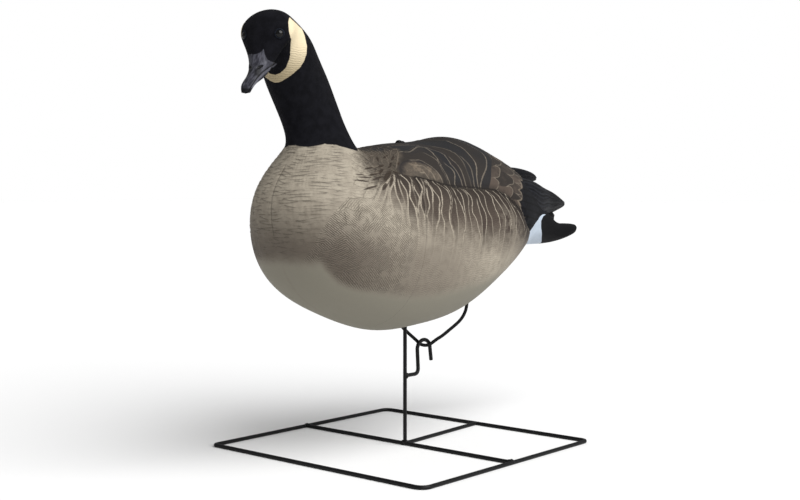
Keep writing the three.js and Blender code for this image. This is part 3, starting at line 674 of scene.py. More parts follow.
class Finish:
    """A material whose looks are built from knots."""

    def __init__(self, name):
        self.material = bpy.data.materials.new(name)
        self.material.use_nodes = True
        self.tree = self.material.node_tree
        self.shader = self.tree.nodes["Principled BSDF"]

    def values(self, name):
        """The three values that a vector attribute packs."""
        node = self.tree.nodes.new("ShaderNodeAttribute")
        node.attribute_name = name
        split = self.tree.nodes.new("ShaderNodeSeparateXYZ")
        self.tree.links.new(node.outputs["Vector"], split.inputs[0])
        return [Knot(self.tree, out) for out in split.outputs]

    def place(self, stretch=None):
        """Where a point is, or that place with its axes scaled."""
        place = self.tree.nodes.new("ShaderNodeTexCoord").outputs["Object"]
        if not stretch:
            return place
        node = self.tree.nodes.new("ShaderNodeMapping")
        node.inputs["Scale"].default_value = stretch
        self.tree.links.new(place, node.inputs[0])
        return node.outputs[0]

    def noise(self, size, detail, where=None):
        """Noise of about 0 to 1, whose grains are about the given millimetres."""
        node = self.tree.nodes.new("ShaderNodeTexNoise")
        node.inputs["Scale"].default_value = 1000 / size
        node.inputs["Detail"].default_value = detail
        node.inputs["Roughness"].default_value = 0.55
        self.tree.links.new(where or self.place(), node.inputs["Vector"])
        return Knot(self.tree, node.outputs[0])

    def chance(self, seed):
        """A random number from 0 to 1 for a seed."""
        node = self.tree.nodes.new("ShaderNodeTexWhiteNoise")
        node.noise_dimensions = "1D"
        self.tree.links.new(seed.socket, node.inputs["W"])
        return Knot(self.tree, node.outputs["Value"])

    def blend(self, a, b, share):
        """A colour between two others; each is a colour for paint() or the result of another blend."""
        node = self.tree.nodes.new("ShaderNodeMix")
        node.data_type = "RGBA"
        node.clamp_factor = True
        self.tree.links.new(share.socket, node.inputs["Factor"])
        for colour, key in ((a, 6), (b, 7)):
            if isinstance(colour, tuple):
                node.inputs[key].default_value = paint(*colour)
            else:
                self.tree.links.new(colour, node.inputs[key])
        return node.outputs[2]

    def layered(self, colour, *layers):
        """A colour under others, each given with the share of it that they cover."""
        for cover, share in layers:
            colour = self.blend(colour, cover, share)
        return colour

    def scaled(self, colour, share):
        """A colour times a knot."""
        node = self.tree.nodes.new("ShaderNodeVectorMath")
        node.operation = "SCALE"
        self.tree.links.new(colour, node.inputs[0])
        self.tree.links.new(share.socket, node.inputs["Scale"])
        return node.outputs[0]

    def colour(self, socket):
        self.tree.links.new(socket, self.shader.inputs["Base Color"])

    def set(self, name, knot):
        if isinstance(knot, Knot):
            self.tree.links.new(knot.socket, self.shader.inputs[name])
        else:
            self.shader.inputs[name].default_value = knot

    def bump(self, height):
        """Bumps whose height is in millimetres."""
        node = self.tree.nodes.new("ShaderNodeBump")
        node.inputs["Strength"].default_value = 1
        node.inputs["Distance"].default_value = MM
        self.tree.links.new(height.socket, node.inputs["Height"])
        self.tree.links.new(node.outputs[0], self.shader.inputs["Normal"])


def grained(name, size, detail, dark, light, contrast, rough, specular, fine=None, coarse=0):
    """A finish that a noise mixes from two colours and makes rough, with a finer noise as its bumps.

    contrast gives the noise's values that are wholly dark and wholly light, rough the least roughness and
    how much the noise adds, fine the finer noise's size and height, and coarse the first noise's height.
    """
    finish = Finish(name)
    grain = finish.noise(size, detail)
    finish.colour(finish.blend(dark, light, smooth(*contrast, grain) if contrast else grain))
    finish.set("Roughness", rough[0] + grain * rough[1] if rough[1] else rough[0])
    finish.set("Specular IOR Level", specular)
    if fine:
        bumps = (finish.noise(fine[0], 2) - 0.5) * fine[1]
        finish.bump(bumps + (grain - 0.5) * coarse if coarse else bumps)
    return finish


# The goose's skin as a grid, and the fields that its feathers and paint follow

t_list = np.concatenate([
    np.arange(NECK * BODY_ROWS) / BODY_ROWS,
    NECK + np.arange((len(STATIONS) - 1 - NECK) * HEAD_ROWS + 1) / HEAD_ROWS])
angle_list = np.arange(RING_POINTS) * 2 * math.pi / RING_POINTS
T, ANGLE = np.meshgrid(t_list, angle_list, indexing="ij")
drawn = drawn_point(T, ANGLE)
smooth_skin = placed(T, drawn)
normals = grid_normals(smooth_skin)
DEGREES = np.degrees(np.minimum(ANGLE, 2 * math.pi - ANGLE))
X = np.abs(drawn[..., 0])
Y = drawn[..., 1]
Z = drawn[..., 2]


def unrolled():
    """The height of each point, measured along its section from the widest point."""
    half = RING_POINTS // 2
    quarter = RING_POINTS // 4
    ring = drawn[:, :half + 1]
    gaps = np.hypot(np.diff(ring[..., 0], axis=1), np.diff(ring[..., 2], axis=1))
    height = np.concatenate([np.zeros((len(ring), 1)), np.cumsum(gaps, axis=1)], axis=1)
    height = height - height[:, quarter:quarter + 1] + ring[:, quarter:quarter + 1, 2]
    return np.concatenate([height, height[:, half - 1:0:-1]], axis=1)


V = unrolled()


def on_chart(t, degrees):
    """Drawn y and unrolled height at a place on the loft."""
    row = np.interp(t, t_list, np.arange(len(t_list)))
    column = degrees / 360 * RING_POINTS
    i, j = int(row), int(column)
    f, g = row - i, column - j
    return [
        (1 - f) * (1 - g) * field[i, j] + f * (1 - g) * field[i + 1, j]
        + (1 - f) * g * field[i, j + 1] + f * g * field[i + 1, j + 1] for field in (Y, V)]


crease_line = [on_chart(t, degrees) for t, degrees in CREASE_ON_LOFT]
whorl = on_chart(*WHORL_ON_LOFT)
split_line = SHOULDER_LINE + crease_line[1:]

# Above this line the feathers fan out from the shoulder, and below it they hang from the crease
wing_side = line_distance(Y, V, split_line)
crease_away = np.abs(line_distance(Y, V, crease_line))


def line_field(table, levels, along, across, shown_along):
    """Where each place lies between the lines, with whole numbers on them, and how much its line shows."""
    count = len(levels)
    steps = np.interp(along, levels, np.arange(count))
    lines = np.moveaxis(splined(np.array([row[:count] for row in table]).T, steps), -1, 0)
    lines = np.maximum.accumulate(lines, axis=0)
    gaps = np.maximum(lines[1:] - lines[:-1], 0.05)
    field = np.clip((across - lines[:-1]) / gaps, 0, 1).sum(axis=0)
    field = field + np.minimum((across - lines[0]) / 11, 0) + np.maximum((across - lines[-1]) / 11, 0)
    nearest = np.clip(np.round(field), 0, len(table) - 1).astype(int)
    low, high, weight = (np.array([row[count + i] for row in table])[nearest] for i in range(3))
    shown = weight * smooth(low - 4, low + 4, shown_along) * (1 - smooth(high - 1, high + 3, shown_along))
    faint = weight * 0.35 * smooth(low + 4, low - 4, shown_along) * smooth(low - 55, low - 15, shown_along)
    return field, shown + faint


# Feathers hang down the flank from the crease
flank_s, flank_shown = line_field(
    FLANK_LINES, [-level for level in FLANK_LEVELS], -V,
    Y + 0.5 * waves(3, Y, V, 22) + np.maximum(268 - V, 0) * 0.15, V)

# Round the shoulder's whorl small feathers point outwards, and behind it broad ones lie in long arcs
fan_y = Y - whorl[0]
fan_v = V - whorl[1]
fan_r = np.hypot(fan_y, fan_v)
fan_angle = np.arctan2(fan_v, -fan_y)
fan_angle = np.where(fan_angle < -math.pi * 0.75, fan_angle + 2 * math.pi, fan_angle)
fan_x = np.degrees(fan_angle) / FAN_DEGREES + 0.2 * waves(7, Y, V, 50) + 0.09 * waves(8, Y, V, 18)
fan_d = np.log(1 + 0.07 * fan_r / 6) / 0.07 + 0.14 * waves(9, Y, V, 50) + 0.09 * waves(10, Y, V, 20)
arc_angle = np.degrees(np.arctan2(V - ARC_CENTRE[1], Y - ARC_CENTRE[0]))
arc_reach = np.hypot(V - ARC_CENTRE[1], Y - ARC_CENTRE[0])
wavy_reach = arc_reach + 0.6 * waves(15, Y, V, 26)
arc_s, arc_shown = line_field(ARC_LINES, ARC_LEVELS, arc_angle, wavy_reach, arc_angle)
arc_side = line_distance(Y, V, ARC_EDGE)

breast_x = np.arctan2(X, BREAST_AXIS_Y - Y) * BACK_RADIUS / BREAST_WIDE + 0.16 * waves(11, Z, X, 60) + 0.5
breast_row = np.maximum(2.7 + 0.019 * (378 - Z), 2.2)
breast_d = np.log(breast_row) / 0.0155 + 0.3 * waves(12, X, Z, 60) + 0.16 * waves(13, X, Z, 24)


def covert_place(x, y, z):
    """How many of the wings' last coverts lie across to a place, and how far behind their ends it is."""
    across = np.arctan2(np.abs(x), z - BACK_AXIS_Z) * BACK_RADIUS / COVERT_WIDE
    return across, (np.abs(x) * COVERT_SLANT + y - COVERT_END_Y) / COVERT_NORM


covert_x, covert_off = covert_place(X, Y, Z)
covert_x = covert_x + 0.06 * waves(14, Y, V, 40)
covert_d = covert_off / COVERT_MM

breast_side = -line_distance(Y, Z, BREAST_EDGE)
breast_side = np.minimum(breast_side, (T - BREAST_REAR) * 30)
covert_side = np.minimum(covert_off + 3 * COVERT_MM, wing_side)
brown_side = line_distance(Y, Z, BROWN_EDGE)
sock_side = (T - looked_up(SOCK_EDGE, DEGREES)) * NECK_STATION_MM
seam_off = np.abs(drawn[..., 0]) + 40 * (1 - smooth(0, 8, Z - 266) * smooth(0, 8, 362 - Z) * (Y < -190))
rear_side = np.where(wing_side > 0, covert_off, (looked_up(FLANK_REAR, DEGREES) - T) * STATION_MM)
tail_side = (looked_up(WHITE_REAR, DEGREES) - T) * STATION_MM
white_side = np.minimum((looked_up(WHITE_FRONT, DEGREES) - T) * STATION_MM, -tail_side)
belly_edge = np.array(SMOOTH_BELLY) * (DEGREE_MM, STATION_MM)
belly_side = line_distance(DEGREES * DEGREE_MM, T * STATION_MM, belly_edge, closed=True)

mirrored = np.stack([X, Y, Z], -1)
shot_x, shot_y = in_camera(placed(T, mirrored))
squeeze = 1 - 0.28 * smooth(30, 70, DEGREES)
aside_x = np.where(drawn[..., 0] < 0, BILL_MIDDLE_X + (shot_x - BILL_MIDDLE_X) * squeeze, shot_x)
bill_side = np.where((Y < -238) & (T > 17.5), line_distance(aside_x, shot_y, BILL_EDGE, closed=True), -30)
bill_side = np.where(drawn[..., 0] < 0, np.minimum(bill_side, shot_y - BILL_TOP_Y), bill_side)
lip_side = line_distance(shot_x, shot_y, LIP_LINE)
strap_side = np.minimum(line_distance(shot_x, shot_y, STRAP_EDGE, closed=True) * 1.2,
                        line_distance(Y, Z, STRAP, closed=True) + 4.5)
nose_x = shot_x - NOSTRIL_AT[0]
nose_y = shot_y - NOSTRIL_AT[1]
nostril = ((nose_x + nose_y * 0.3) / 3) ** 2 + ((nose_y + nose_x * 0.3) / 1.5) ** 2
nostril = np.where(bill_side > 0, nostril, 20)
nose_dip = np.hypot((shot_x - HOLLOW_AT[0]) / 1.6, (shot_y - HOLLOW_AT[1]) / 2.2)


def chosen(flank, fan, arc, breast, covert):
    """The value of the feathers that a place has."""
    value = np.where(wing_side > 0, np.where(arc_side > 0, arc, fan), flank)
    value = np.where(breast_side > 0, breast, value)
    return np.where(covert_side > 0, covert, value)


def millimetres(*fields):
    """The length on the skin of one step of the field that a place has."""
    size = 1 / np.maximum(chosen(*(steepness(field, smooth_skin) for field in fields)), LEAST_RISE)
    return np.clip(size, 2, 80)


row_mm = millimetres(fan_d, fan_d, fan_d, breast_d, covert_d)
column_mm = millimetres(fan_x, fan_x, fan_x, breast_x, covert_x)
line_s = np.where(wing_side > 0, arc_s, flank_s)
line_shown = np.where(wing_side > 0, arc_shown, flank_shown)
line_steep = np.where(wing_side > 0, steepness(arc_s, smooth_skin), steepness(flank_s, smooth_skin))
line_mm = 1 / np.maximum(line_steep, 0.03)
lined = ((wing_side < 0) | (arc_side > 0)) & (breast_side < 0) & (covert_side < 0)
edge, over, off, seed = scales(
    chosen(fan_x, fan_x, fan_x, breast_x, covert_x), chosen(fan_d, fan_d, fan_d, breast_d, covert_d),
    chosen(*TAPERS), chosen(*SHARPS), chosen(*POWERS), row_mm, column_mm)
part = line_s % 1
edge = np.where(lined, np.where(part > 0.5, (1 - part) * line_mm, FAR_OFF), edge)
over = np.where(lined, np.where(part > 0.5, FAR_OFF, part * line_mm), over)

# The relief, in millimetres
feathered = smooth(0, -6, belly_side) * smooth(2, -4, rear_side) * smooth(1, -3, sock_side)
lip = chosen(0.75, 0.85, 0.6, 0.7, 0.45)
relief = lip * (np.exp(-edge / chosen(2.6, 3, 5, 3.2, 4)) - 0.35)
relief = relief - 0.35 * lip * np.exp(-over / 1.8)
relief = relief * feathered * np.where(lined, line_shown, 1)
crease_fade = smooth(-100, -70, Y) * (1 - smooth(147, 177, Y))
crease_off = (Z - looked_up(WING_CREASE, Y)) / 7
relief = relief - 3.4 * crease_fade * np.exp(-crease_off ** 2)
relief = relief - 1.3 * smooth(-1, 3, rear_side) * smooth(60, 75, DEGREES)
relief = relief + 0.45 * smooth(-0.5, 1, strap_side)
relief = relief - 0.5 * np.exp(-(seam_off / 1.5) ** 2)
relief = relief - 1.1 * np.exp(-nostril) + 0.5 * np.exp(-((nostril - 2.6) / 1.3) ** 2)
relief = relief - 0.45 * np.exp(-((lip_side - 1.9) / 0.7) ** 2) * smooth(-1, 1, bill_side)
skin = smooth_skin + normals * relief[..., None]

goose_paint = Finish("goose_paint")


def sliver(y, v, length, width, turn):
    """A slim mark with soft ends, one in its middle and none outside."""
    cosine, sine_of = math.cos(math.radians(turn)), math.sin(math.radians(turn))
    along = (y * cosine + v * sine_of) / length
    across = (v * cosine - y * sine_of) / width
    return smooth(1.2, 0.4, along * along + across * across)


def shade_goose(finish):
    wing_side, arc_side, arc_reach = finish.values("wing")
    line_s, line_shown, line_mm = finish.values("lines")
    fan_x, fan_d, fan_r = finish.values("fan")
    breast_x, breast_d, breast_side = finish.values("breast")
    covert_x, covert_d, covert_side = finish.values("covert")
    row, column, crease_away = finish.values("sizes")
    brown_side, sock_side, strap_side = finish.values("edges")
    rear_side, white_side, belly_side = finish.values("marks")
    tail_side, bill_side, crease_off = finish.values("ends")
    shot_x, shot_y, seam_off = finish.values("shot")
    lip_side, nostril, nose_dip = finish.values("nose")
    height, unrolled_height, drawn_y = finish.values("place")

    on_wing = wing_side > 0
    on_arc = arc_side > 0
    on_breast = breast_side > 0
    on_covert = covert_side > 0
    off_belly = smooth(2, -4, belly_side)

    def chosen(flank, fan, arc, breast, covert):
        value = pick(flank, pick(fan, arc, on_arc), on_wing)
        return pick(pick(value, breast, on_breast), covert, on_covert)

    edge, over, off, seed = scales(
        chosen(fan_x, fan_x, fan_x, breast_x, covert_x), chosen(fan_d, fan_d, fan_d, breast_d, covert_d),
        chosen(*TAPERS), chosen(*SHARPS), chosen(*POWERS), row, column)
    lined = (1 - on_wing + on_wing * on_arc) * (1 - on_breast) * (1 - on_covert)
    feather = floor(line_s)
    part = line_s - feather
    late = part > 0.5
    edge = pick(edge, (1 - part) * line_mm * late + FAR_OFF * (1 - late), lined)
    over = pick(over, part * line_mm * (1 - late) + FAR_OFF * late, lined)
    seed = pick(seed, feather * 1.31 + on_wing * 60, lined)
    to_line = pick(edge, lesser(edge, over), lined)
    showing = pick(1, line_shown, lined)
    chance = finish.chance(seed)

    cloud = finish.noise(45, 2)
    blotch = finish.noise(17, 3)
    grain = finish.noise(9, 4)
    ragged = finish.noise(5, 2)
    fine = finish.noise(3.2, 2)
    speck = finish.noise(1.3, 2)
    uneven = grain - 0.5

    # Barbs: fine lines, level on the flank, and on the side of the breast slanting one way or the other
    slanted = drawn_y + unrolled_height * pick(-1, 1, finish.noise(38, 1) > 0.5)
    plain = (1 - on_breast) * (1 - on_arc * on_wing) * (1 - on_covert)
    bared = smooth(0, 9, 0 - belly_side)
    hatched = smooth(-85, -115, drawn_y) * smooth(330, 300, unrolled_height) * smooth(10, -10, brown_side)
    hatched = hatched * (1 - on_breast)
    level = unrolled_height + off * column * 0.3
    barb = sine(pick(level * 2.35, slanted * 2.15, hatched > 0.5) + grain * 5 + fine * 7)
    barbed = bared * smooth(0.3, 0.55, cloud + uneven * 0.3) * plain * 0.85
    barbed = greater(barbed, hatched * bared * smooth(0.3, 0.5, grain) * 2.6)

    # The cream of the breast and belly, greyer where it is smooth, with painted shade darkening the lower
    # breast and, more faintly, the lower front sides down to the smooth belly
    shade_above_belly = smooth(4, -14, belly_side)
    cream_and_shade = finish.layered(
        (150, 142, 128),
        ((137, 129, 116), smooth(0.35, 0.7, grain)),
        ((124, 120, 108), smooth(-18, 6, belly_side)),
        # Painted shade: the lower breast towards the front, then a fainter darkening of the lower sides
        ((72, 64, 57), smooth(335, 245, height) * smooth(-100, -200, drawn_y) * shade_above_belly * 0.85),
        ((96, 88, 79), smooth(292, 248, height) * smooth(60, -60, drawn_y) * shade_above_belly * 0.6))

    # The brown of the flank and wing, the dark back and its ridge, the shoulder's tan patch and the coverts
    brown = finish.layered(
        (78, 69, 61),
        ((58, 50, 44), chance),
        ((62, 53, 47), smooth(-20, 90, drawn_y) * 0.8),
        ((38, 32, 28), smooth(46, 4, crease_away) * 0.85 * (1 - on_wing)),
        (finish.blend((56, 48, 41), (36, 30, 26), smooth(0.35, 0.65, grain)), on_wing))
    deep = finish.layered(
        (41, 37, 34),
        ((31, 31, 33), smooth(0.35, 0.65, chance * 0.5 + cloud * 0.5)),
        ((42, 34, 29), smooth(0.75, 0.85, chance) * 0.8))
    long_part = smooth(-2, 6, arc_side) * smooth(28, 36, arc_reach + uneven * 10)
    on_back = on_wing * greater(long_part, smooth(395, 415, unrolled_height))
    ridge = smooth(420, 440, unrolled_height) * on_wing * (1 - on_covert)
    tan = on_wing * on_arc * smooth(38, 30, arc_reach + uneven * 8)
    tan = tan * smooth(0.42, 0.56, blotch * 0.6 + grain * 0.4) * smooth(0.4, 0.6, grain * 0.5 + fine * 0.5)
    scaly = finish.blend((72, 63, 56), (40, 36, 33), smooth(0.3, 0.7, chance * 0.6 + grain * 0.4))
    dark = finish.layered(
        brown,
        (deep, on_back),
        ((31, 28, 26), ridge * 0.85),
        ((94, 83, 71), tan * 0.9),
        (scaly, on_covert),
        # Painted shade within 8 mm of the crease over the flank
        ((30, 25, 22), smooth(8, 0, absolute(crease_off) * 7) * 0.6))

    # How brown a place is
    reach = brown_side + (chance - 0.5) * 12 + uneven * 16
    wing_share = smooth(-12, 12, reach) * 0.45 + smooth(-22, 34, reach) * 0.55
    mottle = smooth(-16, 24, brown_side + uneven * 30 + (fine - 0.5) * 24) * 0.9
    brownness = pick(smooth(-22, 30, reach), pick(mottle, wing_share, on_back), on_wing)
    faded = smooth(40, 90, drawn_y) * smooth(210, 150, drawn_y) * smooth(12, 34, crease_away) * (1 - on_wing)
    brownness = brownness * (1 - 0.4 * faded * smooth(0.35, 0.6, grain))

    # Pale rims along the feathers' edges, a dark wash that is partly paint and partly painted shadow behind
    # them (wholly painted shadow under the breast's ripples), the mould's seam, and slivers
    rim_wide = chosen(0.8 + smooth(-10, -80, drawn_y) * 0.35, 1, 0.9, 0.5, 1.4) * (0.7 + 0.6 * grain)
    rim = 1 - smooth(0.5, 1.5, to_line / rim_wide)
    rim = rim * chosen(0.95, 0.4, 0.8, 0, 0.6) * (0.45 + 0.55 * brownness) * showing
    rim = rim * pick(smooth(0.25, 0.5, grain), 0.6 + 0.4 * smooth(0.3, 0.5, grain), lined)
    rim = rim * off_belly * (1 - ridge * 0.5)
    near_whorl = on_wing * smooth(110, 80, fan_r) * (1 - on_back) * (1 - on_breast)
    pale = finish.layered(
        (160, 151, 136),
        ((118, 109, 97), greater(on_back, on_covert)),
        ((128, 118, 104), near_whorl * smooth(-20, 10, brown_side)))
    # Dark behind each overlapping edge: partly a paint wash, partly painted shadow; on the breast's ripples
    # only painted shadow
    wash_and_shadow = fading(over / chosen(0.8, 0.8, 0.8, 0.75, 0.8)) * chosen(0.35, 0.4, 0.45, 1.7, 0.35)
    broken = smooth(0.4, 0.58, finish.noise(13, 2)) * smooth(0, 14, breast_side)
    wash_and_shadow = wash_and_shadow * off_belly * showing * pick(1, broken, on_breast)
    base = finish.layered(
        cream_and_shade,
        (dark, brownness),
        (pale, rim),
        ((50, 44, 38), wash_and_shadow * (0.5 + 0.4 * brownness)),
        ((70, 64, 56), smooth(1.1, 0.3, seam_off) * 0.5))
    bent = drawn_y + uneven * 4
    for slivers, colour, share in ((DARK_SLIVERS, (46, 38, 31), 0.9), (PALE_SLIVERS, (112, 102, 90), 0.42)):
        covered = 0
        for y, v, length, width, turn in slivers:
            covered = greater(sliver(bent - y, unrolled_height - v, length, width, turn), covered)
        base = finish.blend(base, colour, covered * share)
    base = finish.scaled(base, 1 + barb * barbed * 0.13 + (speck - 0.5) * 0.12)

    # The crease's dark line of painted shade, the coverts' pale ends, the wing tips, the white under the
    # tail, and the tail
    between = from_middle(covert_x)
    ending = rear_side + (between * between * 18 - 1.5) * on_covert + uneven * 2
    behind = smooth(-0.6, 0.6, ending)
    ended = smooth(1.5, 0.5, absolute(ending + 1.2)) * smooth(0.35, 0.55, grain) * on_covert
    vane_line = from_middle(unrolled_height / 10 + drawn_y * 0.012 + grain * 0.25)
    slate_tip = finish.layered(
        (15, 16, 20),
        ((8, 8, 11), smooth(0.3, 0.7, grain)),
        ((1, 1, 2), smooth(0.14, 0.04, vane_line) * 0.9))
    white = finish.blend((180, 190, 201), (160, 171, 184), grain)
    on_tail = smooth(-0.4, 0.4, tail_side)
    base = finish.layered(
        base,
        # Painted shade along the crease's groove
        ((24, 20, 18), smooth(0.22, 0.05, absolute(crease_off)) * 0.8),
        ((118, 108, 94), ended * 0.6),
        (slate_tip, behind),
        (white, smooth(-0.5, 0.5, white_side + uneven * 1.2)),
        ((2, 2, 4), on_tail))

    # The black sock of flock, the chin strap with painted shade darkening its lower end, and the bill
    sock = smooth(-0.5, 0.5, sock_side + (ragged - 0.5) * 1.6)
    strap_part = smooth(-0.35, 0.35, strap_side + (ragged - 0.5) * 1.2)
    ripple = sine(height * 2.6 + (ragged - 0.5) * 9 + strap_side * 0.35)
    rippled = smooth(492, 474, height)
    # Painted shade: the strap lighter at the top, darker towards its lower end
    strap = finish.blend((160, 146, 117), (214, 199, 168), smooth(448, 490, height))
    strap = finish.scaled(strap, 1 - smooth(0.2, 1, ripple) * rippled * 0.16)
    bill_part = smooth(-0.3, 0.3, bill_side + (ragged - 0.5) * 0.5)
    streak = finish.noise(2.2, 3, where=finish.place(stretch=(1, 0.35, 0.25)))
    bill = finish.layered(
        (38, 38, 44),
        ((76, 76, 84), smooth(0.35, 0.7, streak)),
        # Painted shade in the dip by the nostril, which the relief does not carve
        ((16, 16, 18), smooth(3.6, 0.8, nose_dip) * 0.9),
        ((96, 96, 104), smooth(1.4, 0.5, absolute(lip_side - 0.1)) * 0.5),
        ((12, 12, 14), smooth(1.1, 0.3, absolute(lip_side - 1.9)) * 0.85),
        ((12, 12, 14), smooth(0.9, 0.2, absolute(lip_side + 1.7)) * 0.6),
        ((4, 4, 5), smooth(1.3, 0.7, nostril)),
        ((8, 8, 9), smooth(86.5, 89.5, shot_y + (ragged - 0.5) * 1.5) * 0.85))
    flock = finish.blend((5, 5, 9), (14, 14, 19), smooth(0.3, 0.7, grain))
    finish.colour(finish.layered(base, (flock, sock), (strap, strap_part), (bill, bill_part)))

    dark_end = greater(behind * (1 - smooth(-0.5, 0.5, white_side)), on_tail)
    rough = pick(0.62 + uneven * 0.15, 0.95, sock * (1 - strap_part))
    finish.set("Roughness", pick(pick(rough, 0.4, bill_part), 0.85, dark_end))
    finish.set("Specular IOR Level", 0.12)
    painted = (1 - behind) * (1 - sock)
    lifted = chosen(0.55, 0.6, 0.35, 0.3, 0.4) * fading(edge / 2) * smooth(0, 0.5, edge)
    lifted = lifted * painted * off_belly * showing
    furry = (finish.noise(0.9, 2) - 0.5) * sock * (1 - bill_part) * 0.45
    moulded = (speck - 0.5) * 0.1 * (1 - sock + sock * bill_part)
    rib = ripple * rippled * strap_part * 0.16
    grooved = (streak - 0.5) * bill_part * 0.3
    finish.bump(lifted + barb * barbed * painted * 0.12 + furry + moulded + rib + grooved)


shade_goose(goose_paint)
grid_piece("goose_skin", skin, goose_paint.material, END_DOME, values={
    "wing": packed(wing_side, arc_side, arc_reach),
    "lines": packed(line_s, line_shown, np.minimum(line_mm, 40)),
    "fan": packed(fan_x, fan_d, fan_r),
    "breast": packed(breast_x, breast_d, breast_side),
    "covert": packed(covert_x, covert_d, covert_side),
    "sizes": packed(row_mm, column_mm, crease_away),
    "edges": packed(brown_side, sock_side, strap_side),
    "marks": packed(rear_side, white_side, belly_side),
    "ends": packed(tail_side, bill_side, pick(9, crease_off, crease_fade)),
    "shot": packed(shot_x, shot_y, seam_off),
    "nose": packed(lip_side, nostril, nose_dip),
    "place": packed(Z, V, Y),
}, replaces=("goose_body",), slot="moulded_body")


# The folded wings' feathers

def lobe_grid(table, side):
    t = np.linspace(0, len(table) - 1, (len(table) - 1) * LOBE_ROWS + 1)
    angle = np.arange(LOBE_RING) * 2 * math.pi / LOBE_RING
    t_grid, angle_grid = np.meshgrid(t, angle, indexing="ij")
    back_y, back_z, belly_y, belly_z, centre, half = np.moveaxis(splined(table, t_grid), -1, 0)
    out, up = half_section(angle_grid, 0.5, LOBE_FULLNESS, LOBE_FULLNESS)
    x = side * centre + half * out * np.sign(np.sin(angle_grid))
    return np.stack([x, pick(belly_y, back_y, up), pick(belly_z, back_z, up)], -1), up


def shade_lobe(finish):
    across, rows, ahead = finish.values("coverts")
    along_vane, darkened, y = finish.values("vanes")
    grain = finish.noise(7, 4)
    speck = finish.noise(1.3, 2)
    edge, over, off, seed = scales(across, rows, TAPERS[-1], SHARPS[-1], POWERS[-1], COVERT_MM, COVERT_MM)
    between = from_middle(across)
    ending = ahead + between * between * 18 - 1.5 + (grain - 0.5) * 2
    behind = smooth(-0.6, 0.6, ending)
    line = from_middle(along_vane)
    brown = finish.layered(
        (76, 68, 61),
        ((46, 41, 37), finish.chance(seed)),
        ((33, 30, 28), smooth(0.45, 0.62, grain) * 0.6),
        ((140, 130, 114), smooth(1.7, 0.5, edge) * smooth(0.25, 0.5, grain) * 0.6),
        ((128, 118, 103), smooth(1.5, 0.5, absolute(ending + 1.2)) * 0.75))
    slate = finish.layered(
        (24, 25, 29),
        ((13, 13, 16), smooth(0.3, 0.7, grain)),
        ((5, 5, 7), smooth(0.1, 0.02, line) * 0.9),
        ((52, 54, 60), smooth(0.12, 0.2, line) * smooth(0.32, 0.2, line) * 0.3),
        ((9, 9, 12), darkened))
    slate = finish.scaled(slate, 1 - 0.55 * smooth(235, 290, y))
    finish.colour(finish.scaled(finish.blend(brown, slate, behind), 1 + (speck - 0.5) * 0.12))
    finish.set("Roughness", 0.5)
    finish.set("Specular IOR Level", 0.05)
    barb = sine((y + line * 12) * 3.1) * 0.03
    finish.bump(fading(edge / 2.2) * 0.4 * (1 - behind) + barb + (speck - 0.5) * 0.08)


wing_paint = Finish("wing_paint")
shade_lobe(wing_paint)

# Feather lobes: table of sections, side, vanes from top to bottom, and how far they are darkened
LOBES = {
    "wing_tip_left": (FLIGHT_FEATHERS, 1, 4.5, 0),
    "wing_tip_right": (FLIGHT_FEATHERS, -1, 4.5, 0),
    "tertials_left": (TERTIALS, 1, 2.5, 0.7),
    "tertials_right": (TERTIALS, -1, 2.5, 0.7),
    "tail_coverts": (TAIL_COVERTS, 1, 3, 1),
}
for name, (table, side, vanes, dark) in LOBES.items():
    lobe, up = lobe_grid(table, side)
    x, y, z = np.moveaxis(lobe, -1, 0)
    vane = up * vanes + 0.12 * waves(21, y, z, 60)
    across, ahead = covert_place(x, y, z)
    if dark:
        ahead = np.full(y.shape, 20.0)
    step = (from_middle(vane) - 0.25) * 1.6 * smooth(-4, 4, ahead)
    fine = lobe + grid_normals(lobe) * (step - 0.6 * smooth(-2, 2, ahead))[..., None]
    grid_piece(name, fine, wing_paint.material, replaces=("goose_body",), slot="moulded_body", values={
        "coverts": packed(across + 0.2 * waves(14, y, z, 30), ahead / COVERT_MM, ahead),
        "vanes": packed(vane, np.full(y.shape, float(dark)), y),
    })


# The eyes

def eye_centre(side):
    angle = EYE_ANGLE if side > 0 else 2 * math.pi - EYE_ANGLE
    step = 0.02
    t = np.array([EYE_STATION, EYE_STATION + step, EYE_STATION - step, EYE_STATION, EYE_STATION])
    a = np.array([angle, angle, angle, angle + step, angle - step])
    centre, ahead, behind, above, below = placed(t, drawn_point(t, a))
    normal = unit(np.cross(above - below, ahead - behind))
    return centre - normal * (EYE_RADIUS - EYE_PROUD), normal


def turned_grid(profile, axis, centre, sides=40):
    """Rings of a profile of (radius, height) about an axis through a centre."""
    axis = unit(np.asarray(axis, float))
    side = unit(np.cross(axis, (0, 0, 1) if abs(axis[2]) < 0.9 else (1, 0, 0)))
    other = np.cross(axis, side)
    angle = -np.arange(sides) * 2 * math.pi / sides
    ring = side * np.cos(angle)[:, None] + other * np.sin(angle)[:, None]
    return np.array([np.asarray(centre) + axis * h + ring * r for r, h in profile])


eye_gloss = grained("eye_gloss", 3, 2, (5, 5, 6), (18, 14, 12), (0.4, 0.8), (0.1, 0), 0.24)
lid_flock = grained("lid_flock", 2, 3, (13, 14, 18), (34, 38, 48), (0.35, 0.8), (0.85, 0), 0.05, (0.8, 0.3))

